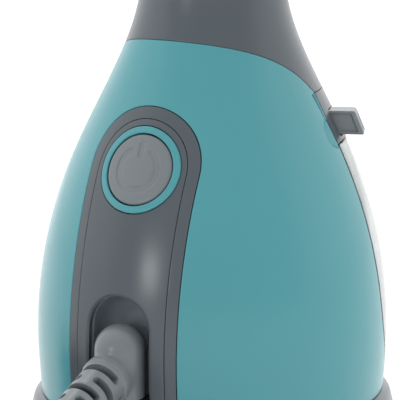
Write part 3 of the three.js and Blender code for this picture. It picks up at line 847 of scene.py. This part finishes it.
CORD_D = 7.0
COIL = np.array([45.0, 155.0])
LEAD_ROUTE = [
    (0, 100.2, 31.7), (0, 106, 29.9), (-0.5, 113, 26.9), (-1.8, 120, 23.2), (-4, 127, 18.8),
    (-6.2, 134, 14.2), (-8.4, 141, 10), (-10.4, 148, 6.8), (-11.8, 155, 4.9), (-12.3, 162, 4.2),
    (-11.8, 169, 4.2), (-10, 176, 4.3), (-6.8, 182.4, 4.5), (-2.4, 188.2, 4.6), (3, 193.2, 4.8),
    (10, 196.4, 5), (19, 199.4, 5), (32, 201.6, 5),
]
# The coil's turns, each by its radius and height
TURNS = [
    (47, 5), (40, 5), (33, 5), (33, 12), (40, 12), (47, 12),
    (47, 19), (40, 19), (33, 19), (33, 26), (40, 26), (47, 26),
]
TAIL_ROUTE = [(97.8, 148, 25.2), (99.5, 141, 23.6), (99.8, 134, 20.6), (99.5, 127, 16.6),
              (98.6, 120, 12.8), (97.6, 113, 10.2), (97, 105.8, 9.6)]


def smooth_route(points, step=3.0):
    """Evenly spaced points on a smooth curve through the given ones."""
    points = np.array(points, float)
    padded = np.vstack([2 * points[0] - points[1], points, 2 * points[-1] - points[-2]])
    out = []
    for k in range(1, len(padded) - 2):
        p0, p1, p2, p3 = padded[k - 1:k + 3]
        parts = max(2, int(np.linalg.norm(p2 - p1) / 0.5))
        for t in np.arange(parts) / parts:
            out.append(0.5 * (2 * p1 + (p2 - p0) * t + (2 * p0 - 5 * p1 + 4 * p2 - p3) * t * t
                              + (3 * p1 - p0 - 3 * p2 + p3) * t ** 3))
    out.append(points[-1])
    out = np.array(out)
    way = np.concatenate([[0], np.cumsum(np.linalg.norm(np.diff(out, axis=0), axis=1))])
    even = np.linspace(0, way[-1], int(way[-1] / step) + 1)
    return np.stack([np.interp(even, way, out[:, k]) for k in range(3)], -1), way[-1]


def coil_points():
    """Turn after turn, clockwise from the side away from the plug."""
    out = []
    last = len(TURNS) - 1
    for degrees in range(0, 360 * last + 66, 6):
        turn, into = divmod(degrees, 360)
        r, z = TURNS[min(turn, last)]
        if turn < last:
            r1, z1 = TURNS[turn + 1]
            t = np.clip((into - 300) / 60, 0, 1)
            t = t * t * (3 - 2 * t)
            r, z = r + (r1 - r) * t, z + (z1 - z) * t
        angle = rad(90 - degrees)
        wander = 0.18 * math.sin(3 * angle + turn)
        out.append((COIL[0] + (r + wander) * math.cos(angle),
                    COIL[1] + (r + wander) * math.sin(angle), z))
    return out


route, cord_length = smooth_route(LEAD_ROUTE + coil_points() + TAIL_ROUTE)


def tube(name, route, radius, sides=18):
    """A closed round tube along a route."""
    ahead = unit(np.gradient(route, axis=0))
    across = unit(np.cross(ahead[0], (0, 0, 1.0)))
    rings = []
    angle = np.arange(sides) * 2 * math.pi / sides
    for at, way in zip(route, ahead):
        across = across - (across @ way) * way
        across = across / np.linalg.norm(across)
        over = np.cross(way, across)
        rings.append(at + radius * (np.cos(angle)[:, None] * across
                                    + np.sin(angle)[:, None] * over))
    faces = []
    for i in range(len(route) - 1):
        for j in range(sides):
            k = (j + 1) % sides
            faces.append([i * sides + j, i * sides + k, (i + 1) * sides + k, (i + 1) * sides + j])
    last = (len(route) - 1) * sides
    faces.append(list(range(sides))[::-1])
    faces.append([last + j for j in range(sides)])
    return add_mesh(name, np.concatenate(rings), faces)


cord = tube("mains_cord", route, CORD_D / 2)
cord.data.materials.append(MATERIALS["cord_sheath"])

# ---- plug, pins and tie ----

PLUG = np.array([97.0, 79.0, 0])
PLUG_OUTLINE = np.concatenate([
    [(-24.5, -20), (-24.5, 10)], quadratic((-24.5, 10), (-24.5, 19), (-16, 21), 8)[1:],
    [(-9, 25.4), (9, 25.4), (16, 21)], quadratic((16, 21), (24.5, 19), (24.5, 10), 8)[1:],
    [(24.5, -20)], quadratic((24.5, -20), (24.5, -25), (19.5, -25), 6)[1:],
    [(-19.5, -25)], quadratic((-19.5, -25), (-24.5, -25), (-24.5, -20), 6)[1:-1],
])


def plug_shape(p):
    q = p - PLUG
    flat = -outline_distance(q[:, 0], q[:, 1], PLUG_OUTLINE)
    body = corner(flat, np.abs(q[:, 2] - 10) - 10, 2.6)
    seam = np.abs(q[:, 2] - 13.5) - 0.25
    body = np.maximum(body, -np.maximum(seam, -(flat + 0.35)))
    grip = least(*[np.abs(q[:, 1] - at) for at in (-16, -11, -6)]) - 0.9
    side = most(grip, 23.6 - np.abs(q[:, 0]), np.abs(q[:, 2] - 7) - 4.2)
    screw = np.maximum(length(q[:, 0], q[:, 1]) - 2.8, 19.0 - q[:, 2])
    mouth = np.maximum(length(q[:, 0], q[:, 2] - 9.6) - 3.7, 22 - q[:, 1])
    return cut(cut(cut(body, side, 0.5), screw, 0.4), mouth, 0.4)


plug = implicit("plug_moulding", plug_shape, PLUG + (-25, -25.5, 0), PLUG + (25, 26, 20.4), 0.8)
dress(plug, "root", "rubber", "plug_body")


def pin(name, node, low, high, sleeve):
    """A pin from its base, with a dark sleeve up to a height if it has one."""
    low, high = np.array(low) + PLUG, np.array(high) + PLUG
    centre, half = (low + high) / 2, (high - low) / 2

    def metal_part(p):
        body = rounded_box(p, centre, half, 0.5)
        tip = p[:, 2] - (high[2] - 1.6) + np.maximum(np.abs(p[:, 0] - centre[0]) - half[0] + 1.2,
                                                     np.abs(p[:, 1] - centre[1]) - half[1] + 1.2)
        return both(body, tip * 0.7, 0.3)
    piece = implicit(name, metal_part, low, high, 0.4)
    dress(piece, "root", "brass", node)
    made = [piece]
    if sleeve:
        top = low[2] + 9
        mid, size = centre.copy(), half.copy() + 0.25
        mid[2], size[2] = (low[2] + top) / 2, (top - low[2]) / 2
        cover = implicit(name + "_sleeve", lambda p: rounded_box(p, mid, size, 0.5),
                         mid - size, mid + size, 0.4)
        dress(cover, "root", "rubber")
        made.append(cover)
    return made


pins = pin("pin_live", "plug_pin_live", (-14.3, 4, 20.1), (-8, 8, 37.7), True)
pins += pin("pin_neutral", "plug_pin_neutral", (8, 4, 20.1), (14.3, 8, 37.7), True)
pins += pin("pin_earth", "plug_pin_earth", (-2, -20.2, 20.1), (2, -12.2, 42.7), False)


TIE_OUT = np.array([math.cos(rad(-62)), math.sin(rad(-62))])
TIE_AT = COIL + 40 * TIE_OUT


def tie_shape(p):
    """A strap round all the turns at one place."""
    x, y = p[:, 0] - TIE_AT[0], p[:, 1] - TIE_AT[1]
    a = x * TIE_OUT[0] + y * TIE_OUT[1]
    b = -x * TIE_OUT[1] + y * TIE_OUT[0]
    z = p[:, 2] - 15.5
    ring = corner(np.abs(a) - 11.9, np.abs(z) - 14.7, 3.3)
    return np.maximum(np.abs(ring) - 0.55, np.abs(b) - 4.6) - 0.15


tie = implicit("cord_tie", tie_shape, (*(TIE_AT - 14), 0), (*(TIE_AT + 14), 31), 0.5)
dress(tie, "root", "rubber", "coil_tie")

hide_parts("cord_lead", "cord_coil", "cord_tail")
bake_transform(cord)

# ---- base ----

base = lathe(
    "base_ring_grey",
    [(52.4, 2.2), (55.8, 2.2, 1.2), (57.3, 7, 3), (57.8, 16.6, 0.2), (57.9, 20.4, 3),
     (56.9, 24.6, 3), (54.6, 26.3, 0.6), (51.6, 26.3, 0.3), (54.2, 17, 1), (54, 9, 1)],
    0.4, 192, DEPTH,
)
dress(base, "root", "base_grey_plastic", "base_ring")
bead = lathe("base_bead", [(57.2, 16.6), (58.1, 16.7, 0.4), (58.1, 17.9, 0.4), (57.2, 18)],
             0.3, 192, DEPTH)
dress(bead, "root", "rubber")
cover = lathe(
    "base_cover",
    [(0, 2.0), (30, 2.0, 0.3), (30.4, 2.5, 0.2), (33, 2.5, 0.2), (33.4, 2.0, 0.3), (50.6, 2.0, 0.6),
     (51.8, 3.2, 0.4), (51.8, 6), (0, 6)],
    0.4, 160, DEPTH, closed=False,
)
dress(cover, "root", "inner_plastic", "bottom_cover")
foot = lathe("base_foot", [(34, 0), (40, 0), (40, 1.7), (34, 1.7)], 0.6, 128)
dress(foot, "root", "rubber", "rubber_foot_ring")
for number in range(4):
    turn = rad(45 + 90 * number)
    sx, sy = 47.5 * math.cos(turn), 47.5 * math.sin(turn)

    def screw_shape(p, sx=sx, sy=sy):
        head = cylinder(p, 2, (sx, sy, 2.6), 3.2, 1.1, 0.4)
        shank = cylinder(p, 2, (sx, sy, 9.5), 1.5, 6.5, 0.3)
        x, y = np.abs(p[:, 0] - sx), np.abs(p[:, 1] - sy)
        cross = np.minimum(np.maximum(x - 0.45, y - 2), np.maximum(y - 0.45, x - 2))
        return np.maximum(np.minimum(head, shank), -np.maximum(cross, p[:, 2] - 2.5))
    screw = implicit(f"screw_{number + 1}", screw_shape, (sx - 3.4, sy - 3.4, 1.4),
                     (sx + 3.4, sy + 3.4, 16.2), 0.3)
    dress(screw, "root", "steel", f"base_screw_{number + 1}")

# ---- tank, dock and collar ----


TANK_TOP, COLLAR_FOOT, COLLAR_TOP = 108.1, 108.3, 123.9


def keep_tank(p):
    return least(front_region(p) - TANK_GAP, TANK_TOP - p[:, 2])


FRONT_ANGLES = np.linspace(rad(178), rad(362), 300)
tank_wall = skin("tank_wall", on_hull(), FRONT_ANGLES, np.arange(28, 110, 0.8), keep_tank,
                 edge=0.5, depth=2.4)
dress(tank_wall, "tank", "clear_plastic", "water_tank")

TANK_PATH = fillet(
    [(-60, TANK_TOP), (-6.2, TANK_TOP, 3), *[(y - 0.2, z) for y, z in SEAM[1:-1]],
     (-38.2, 30.3), (-70, 30.3)], 0, parts=6)


def along(path):
    """A surface that follows a path in the YZ plane and runs straight across X."""
    way = np.concatenate([[0], np.cumsum(np.linalg.norm(np.diff(path, axis=0), axis=1))])

    def place(v, u):
        return np.stack([u, np.interp(v, way, path[:, 0]), np.interp(v, way, path[:, 1])], -1)
    return place, way[-1]


tank_place, tank_length = along(TANK_PATH)
tank_back = skin("tank_inner_wall", tank_place, np.arange(0, tank_length, 1.2),
                 np.arange(-56, 56.1, 1.2), lambda p: inside_hull(p, 2.2), edge=0.4, depth=2.2)
dress(tank_back, "tank", "clear_plastic")

DOCK_PATH = np.array([(y + 0.7, z - 0.3) for y, z in [(-5.3, 118), (-6.7, 108), *SEAM[1:-1],
                                                      (-38, 30), (-70, 30)]])
dock_place, dock_length = along(DOCK_PATH)
dock = skin("dock_wall", dock_place, np.arange(0, dock_length, 1.2), np.arange(-56, 56.1, 1.2),
            lambda p: least(inside_hull(p, 2.8 + 11 * np.clip((p[:, 2] - 105) / 3, 0, 1)),
                            length(p[:, 0], p[:, 2] - 42) - 4.8),
            edge=0.3, depth=-1.8)
dress(dock, "root", "light_grey_plastic", "tank_dock")

LATCH_ANGLE = rad(24)
LATCH_Z, LATCH_HALF = 113.7, 3.8


def latch_turn(side):
    return -LATCH_ANGLE if side > 0 else math.pi + LATCH_ANGLE


def latch_frame(p, side):
    """A point in a latch's own frame: outward, across and up."""
    a = latch_turn(side)
    x = p[:, 0] * math.cos(a) + p[:, 1] * math.sin(a)
    y = -p[:, 0] * math.sin(a) + p[:, 1] * math.cos(a)
    return x, y, p[:, 2] - LATCH_Z


def latch_window(p):
    best = np.full(len(p), -50.0)
    for side in (-1, 1):
        x, y, z = latch_frame(p, side)
        d = -corner(np.abs(y) - 4.6, np.abs(z) - LATCH_HALF - 0.4, 0.8)
        best = np.maximum(best, np.where(x > 0, d, -50.0))
    return best


def keep_collar(p):
    return least(front_region(p) - COLLAR_GAP, p[:, 2] - COLLAR_FOOT, COLLAR_TOP - p[:, 2],
                 -latch_window(p))


collar = skin("collar_grey", on_hull(), np.linspace(rad(176), rad(364), 420),
              np.arange(106, 126, 0.5), keep_collar, edge=0.2, depth=2.2)
dress(collar, "root", "grey_plastic", "front_collar")
deck = implicit("collar_deck", lambda p: most(np.abs(p[:, 2] - 120.6) - 1, -inside_hull(p, 2.0),
                                              p[:, 1] + 5.3), (-38, -40, 119), (38, -5, 122), 1.0)
dress(deck, "root", "grey_plastic")


def latch_shape(side):
    def field(p):
        x, y, z = latch_frame(p, side)
        end = (x - (48.4 - (z + LATCH_HALF) * 0.42)) * 0.92
        body = np.stack([end, np.abs(y) - 4.2, np.abs(z) - LATCH_HALF, 30.5 - x], -1) + 0.7
        body = length(*np.maximum(body, 0).T) + np.minimum(body.max(1), 0) - 0.7
        hollow = most(3.5 - np.abs(y), np.abs(z) - LATCH_HALF + 1, end + 1.6, 33 - x)
        rib = np.abs((y + 0.9) % 1.8 - 0.9) - 0.22
        ribs = most(rib, np.abs(y) - 3.2, -end - 0.45, np.abs(z) - 2.6)
        flange = most(np.abs(x - 31) - 1, np.abs(y) - 5.3, np.abs(z) - LATCH_HALF - 1)
        return np.minimum(cut(cut(body, hollow, 0.3), ribs, 0.15), flange)
    return field


for side, label in ((-1, "left"), (1, "right")):
    a = latch_turn(side)
    cx, cy = 39.5 * math.cos(a), 39.5 * math.sin(a)
    latch = implicit(f"latch_{label}_tab", latch_shape(side), (cx - 12, cy - 9.5, 108.6),
                     (cx + 12, cy + 9.5, 118.8), 0.3)
    dress(latch, f"latch_{label}", "light_grey_plastic", f"tank_latch_{label}")

# ---- springs ----


def coil_spring(node, radius, wire, low, high, turns, place):
    """A coil spring, wound from its fixed end at low up to high."""
    t = np.linspace(0, 1, turns * 24 + 1)
    angle = t * turns * 2 * math.pi
    height = low + wire + (high - low - 2 * wire) * t
    route = place(np.stack([radius * np.cos(angle), radius * np.sin(angle), height], -1))
    coil = dress(tube(f"{node}_wire", route, wire, 8), "root", "steel", node)
    ends = place(np.array([[0, 0, low], [0, 0, high]])) * MM
    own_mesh(coil)


RELEASE_Y = -31
coil_spring("button_spring", 5, 0.45, -9.2, -2.5, 3,
            lambda q: carried(q, BUTTON_AT, BUTTON_ACROSS, BUTTON_UP, BUTTON_OUT))
for side, label in ((-1, "left"), (1, "right")):
    a = latch_turn(side)
    coil_spring(f"latch_spring_{label}", 2.4, 0.4, 23.2, 29.6, 3,
                lambda q: carried(q, (0, 0, LATCH_Z), (0, 0, 1), (-math.sin(a), math.cos(a), 0),
                                  (math.cos(a), math.sin(a), 0)))
coil_spring("trigger_spring", 2, 0.35, 8.9, 20.4, 5,
            lambda q: np.stack([q[:, 0], -q[:, 2], 201 + q[:, 1]], -1))
coil_spring("release_spring", 3, 0.4, 265.4, 274.2, 4,
            lambda q: q + np.array([0, RELEASE_Y, 0]))

# ---- filler cap ----

FILLER_AT = np.array([0, -50.6, 88.0])
FILLER_TILT = rad(18)
FILLER_OUT = np.array([0, -math.cos(FILLER_TILT), math.sin(FILLER_TILT)])
FILLER_UP = np.array([0, math.sin(FILLER_TILT), math.cos(FILLER_TILT)])
HINGE = 14.4, 3.6  # the cap's hinge, up and out from its middle


def filler_frame(p):
    q = p - FILLER_AT
    return np.stack([q @ SIDE, q @ FILLER_UP, q @ FILLER_OUT], -1)


def cap_shape(p):
    q = filler_frame(p)
    r = length(q[:, 0], q[:, 1])
    angle = np.arctan2(q[:, 1], q[:, 0])
    edge = 12.4 - 0.28 * (0.5 + 0.5 * np.cos(36 * angle))
    disc = corner(r - edge, np.abs(q[:, 2] - 3.95) - 1.65, 0.8)
    disc = cut(disc, np.maximum(r - 9.2, 4.9 - q[:, 2]), 0.6)
    bar = rounded_box(q, (0, 0, 4.9), (8.6, 1.5, 0.7), 0.5)
    skirt = cylinder(q, 2, (0, 0, 1.4), 7.4, 1.3, 0.5)
    lip = rounded_box(q, (0, -12.6, 3.6), (5, 2, 1), 0.6)
    arm = rounded_box(q, (0, 11.6, 3.8), (4.7, 3.4, 1.4), 0.6)
    knuckle = cylinder(q, 0, (0, *HINGE), 2.0, 4.75, 0.3)
    body = least(join(join(disc, lip, 0.6), join(arm, knuckle, 0.5), 0.6), skirt, bar)
    return np.maximum(body, 1.05 - length(q[:, 1] - HINGE[0], q[:, 2] - HINGE[1]))


cap = implicit("filler_cap_grey", cap_shape, (-13, -60, 72), (13, -44, 106), 0.45)
dress(cap, "filler_cap", "light_grey_plastic", "filler_cap")


def filler_neck(p):
    q = filler_frame(p)
    r = length(q[:, 0], q[:, 1])
    pipe = most(r - 11, 8.8 - r, np.abs(q[:, 2] + 1.6) - 3.4)
    ears = np.full(len(p), 50.0)
    for x in (-7, 7):
        ear = join(cylinder(q, 0, (x, *HINGE), 2.0, 1.5, 0.3),
                   rounded_box(q, (x, HINGE[0], 0.8), (1.5, 2, 3), 0.4), 0.3)
        ears = np.minimum(ears, ear)
    return np.minimum(pipe, np.maximum(ears, 0.95 - length(q[:, 1] - HINGE[0], q[:, 2] - HINGE[1])))


filler = implicit("filler_neck_clear", filler_neck, (-12, -57, 74), (12, -40, 106), 0.5)
dress(filler, "tank", "clear_plastic")
hinge = implicit("filler_hinge_pin",
                 lambda p: cylinder(filler_frame(p), 0, (0, *HINGE), 0.8, 8.6, 0.2),
                 (-9, -57, 98), (9, -45, 106), 0.3)
dress(hinge, "tank", "steel", "cap_hinge_pin")

# ---- head, trigger and release button ----

HEAD_Z = 258.0
NOSE = np.array([(14, -22), (19.6, -12), (21.6, 0), (21.8, 16), (25, 34), (31, 47.5)], float)
NOSE_S, NOSE_R = natural_spline(NOSE[:, 1], NOSE[:, 0], 600)


def head_shape(p):
    r = length(p[:, 0], p[:, 2] - HEAD_Z)
    s = -p[:, 1]
    flow = (r - np.interp(s, NOSE_S, NOSE_R)) / 1.12
    rear = length(r * 0.9, s + 6) - 18.6
    nose = join(np.maximum(flow, -s - 13), np.maximum(rear, s + 12), 2.0)
    nose = both(nose, s - 47.5, 0.8)
    stem = np.maximum(length(p[:, 0], p[:, 1] / DEPTH) - 21.7, p[:, 2] - HEAD_Z)
    body = join(nose, stem, 9.0)
    body = both(body, 236.4 - p[:, 2], 0.7)
    window = corner(np.abs(p[:, 0]) - 7.4, np.abs(p[:, 1] - RELEASE_Y) - 6.4, 1.0)
    return cut(body, np.maximum(window, 268 - p[:, 2]), 0.6)


head = implicit("head_shell", head_shape, (-32, -48, 236), (32, 26, 290), 0.8)
dress(head, "root", "grey_plastic", "head_housing")


def release_shape(p):
    y = p[:, 1] - RELEASE_Y
    body = rounded_box(p, (0, RELEASE_Y, 280.6), (6.2, 5.2, 5.4), 1.4)
    ribs = most(np.abs((y + 0.9) % 1.8 - 0.9) - 0.3, np.abs(p[:, 0]) - 4.6, 285.5 - p[:, 2],
                np.abs(y) - 3.8)
    flange = rounded_box(p, (0, RELEASE_Y, 275.5), (9, 7, 1), 0.4)
    return np.minimum(cut(body, ribs, 0.3), flange)


release = implicit("release_button_grey", release_shape, (-9.2, -38.2, 274), (9.2, -23.8, 286.4), 0.4)
dress(release, "release_button", "light_grey_plastic", "release_button")

TRIGGER = np.concatenate([
    [(-10.5, 222.5), (-10.5, 228.6), (-20.6, 229.4)],
    quadratic((-20.6, 229.4), (-31, 212), (-25.4, 194.6))[1:], [(-20.8, 194.6), (-19, 218)],
])


def trigger_shape(p):
    flat = -outline_distance(p[:, 1], p[:, 2], TRIGGER)
    body = corner(flat, np.abs(p[:, 0]) - 5.5, 1.5)
    return np.maximum(body, 1.6 - length(p[:, 1] + 13.5, p[:, 2] - 226))


trigger = implicit("trigger_grey", trigger_shape, (-5.8, -29, 194), (5.8, -10, 230), 0.5)
dress(trigger, "trigger", "light_grey_plastic", "trigger")

# ---- steam plate ----


PLATE = 150, 84, 14  # width, height and corner radius


def plate_outline(p, width, height, radius):
    return corner(np.abs(p[:, 0]) - width / 2, np.abs(p[:, 2] - HEAD_Z) - height / 2, radius)


def housing_shape(p):
    body = corner(plate_outline(p, *PLATE), np.abs(p[:, 1] + 53.1) - 5.3, 1.6)
    body = cut(body, np.maximum(plate_outline(p, 146, 80, 12), p[:, 1] + 50.2), 0.3)
    groove = np.abs(plate_outline(p, 132, 66, 8)) - 0.5
    body = cut(body, np.maximum(groove, -48.4 - p[:, 1]), 0.3)
    return cut(body, length(p[:, 0], p[:, 2] - HEAD_Z) - 8, 0.4)


housing = implicit("plate_back", housing_shape, (-75, -58.4, 216), (75, -47.8, 300), 0.8)
dress(housing, "steam_plate", "grey_plastic", "plate_housing")


def on_plate(x, z):
    return np.stack([x, np.full(len(x), -57.8), z], -1)


def keep_face(p):
    kept = -plate_outline(p, 145.4, 79.4, 11.7)
    for column in range(-3, 4):
        for row in (-1, 0, 1):
            kept = np.minimum(kept, length(p[:, 0] - column * 17, p[:, 2] - HEAD_Z - row * 19) - 2)
    return kept


face = skin("plate_sole", on_plate, np.arange(-74, 74.1, 0.7), np.arange(216, 300, 0.7), keep_face,
            edge=0.3, depth=1.6)
dress(face, "steam_plate", "aluminium", "steam_face")


def seal_shape(p):
    ring = np.maximum(plate_outline(p, *PLATE), -plate_outline(p, 136, 70, 8))
    body = corner(ring, np.abs(p[:, 1] + 61.35) - 2.65, 1.1)
    channel = np.abs(plate_outline(p, 143, 77, 11)) - 0.6
    return cut(body, np.maximum(channel, p[:, 1] + 63.2), 0.4)


seal = implicit("plate_rubber_rim", seal_shape, (-75, -64, 216), (75, -58.7, 300), 0.8)
dress(seal, "steam_plate", "rubber", "plate_seal")

# ---- CAD pieces that stay as they are ----

INNER = {
    "steel": ["trigger_pin", "thermostat"],
    "brass": ["steam_nozzle"],
    "aluminium": ["boiler"],
    "copper": ["heating_element"],
    "board": ["circuit_board"],
    "inner_plastic": ["power_switch", "trigger_bracket", "trigger_switch", "chassis", "pump",
                      "tank_outlet_valve"],
    "rubber": ["inlet_tube", "outlet_tube", "steam_tube", "dock_seal"],
}
for slot, names in INNER.items():
    for name in names:
        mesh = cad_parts[name].data
        if mesh.materials:
            mesh.materials[0] = MATERIALS[slot]
        else:
            mesh.materials.append(MATERIALS[slot])

# ---- floor and light ----

floor_mesh = bpy.data.meshes.new("floor")
floor_mesh.from_pydata([(-6, -6, 0), (6, -6, 0), (6, 6, 0), (-6, 6, 0)], [], [(0, 1, 2, 3)])
floor = bpy.data.objects.new("floor", floor_mesh)
scene.collection.objects.link(floor)
floor.location.z = -0.0002
ground = Shader("floor")
ground.join(ground.ramp(ground.noise(3, 2), linear((244, 244, 244)), linear((248, 248, 248))),
            "Base Color")
ground.set("Roughness", 0.9)
ground.set("Specular IOR Level", 0.1)
floor_mesh.materials.append(ground.material)

world = bpy.data.worlds.new("studio")
scene.world = world
world.use_nodes = True
nodes, links = world.node_tree.nodes, world.node_tree.links
background = nodes["Background"]
toward = nodes.new("ShaderNodeTexCoord")
facing = nodes.new("ShaderNodeVectorMath")
facing.operation = "DOT_PRODUCT"
facing.inputs[1].default_value = (math.sin(AZIMUTH), -math.cos(AZIMUTH), 0)
links.new(toward.outputs["Generated"], facing.inputs[0])
wall = nodes.new("ShaderNodeMapRange")
wall.interpolation_type = "SMOOTHSTEP"
for socket, value in (("From Min", 0.1), ("From Max", 0.6), ("To Min", 1.4), ("To Max", 0.74)):
    wall.inputs[socket].default_value = value
links.new(facing.outputs["Value"], wall.inputs["Value"])
links.new(wall.outputs["Result"], background.inputs["Strength"])
background.inputs["Color"].default_value = (1, 1, 1, 1)
scene.view_settings.view_transform = "Standard"


def softbox(name, at, size, power):
    """A soft rectangular lamp that faces the middle of the body."""
    light = bpy.data.lights.new(name, "AREA")
    light.shape = "RECTANGLE"
    light.size, light.size_y = size
    light.energy = power
    obj = bpy.data.objects.new(name, light)
    scene.collection.objects.link(obj)
    obj.location = at
    obj.rotation_euler = (Vector(at) - Vector((0, 0, 0.1))).to_track_quat("Z", "Y").to_euler()


softbox("rear_light", (0.55, -0.95, 1.15), (0.8, 0.8), 10)
softbox("low_light", (0.14, 0.99, 0.24), (0.2, 0.16), 0.9)
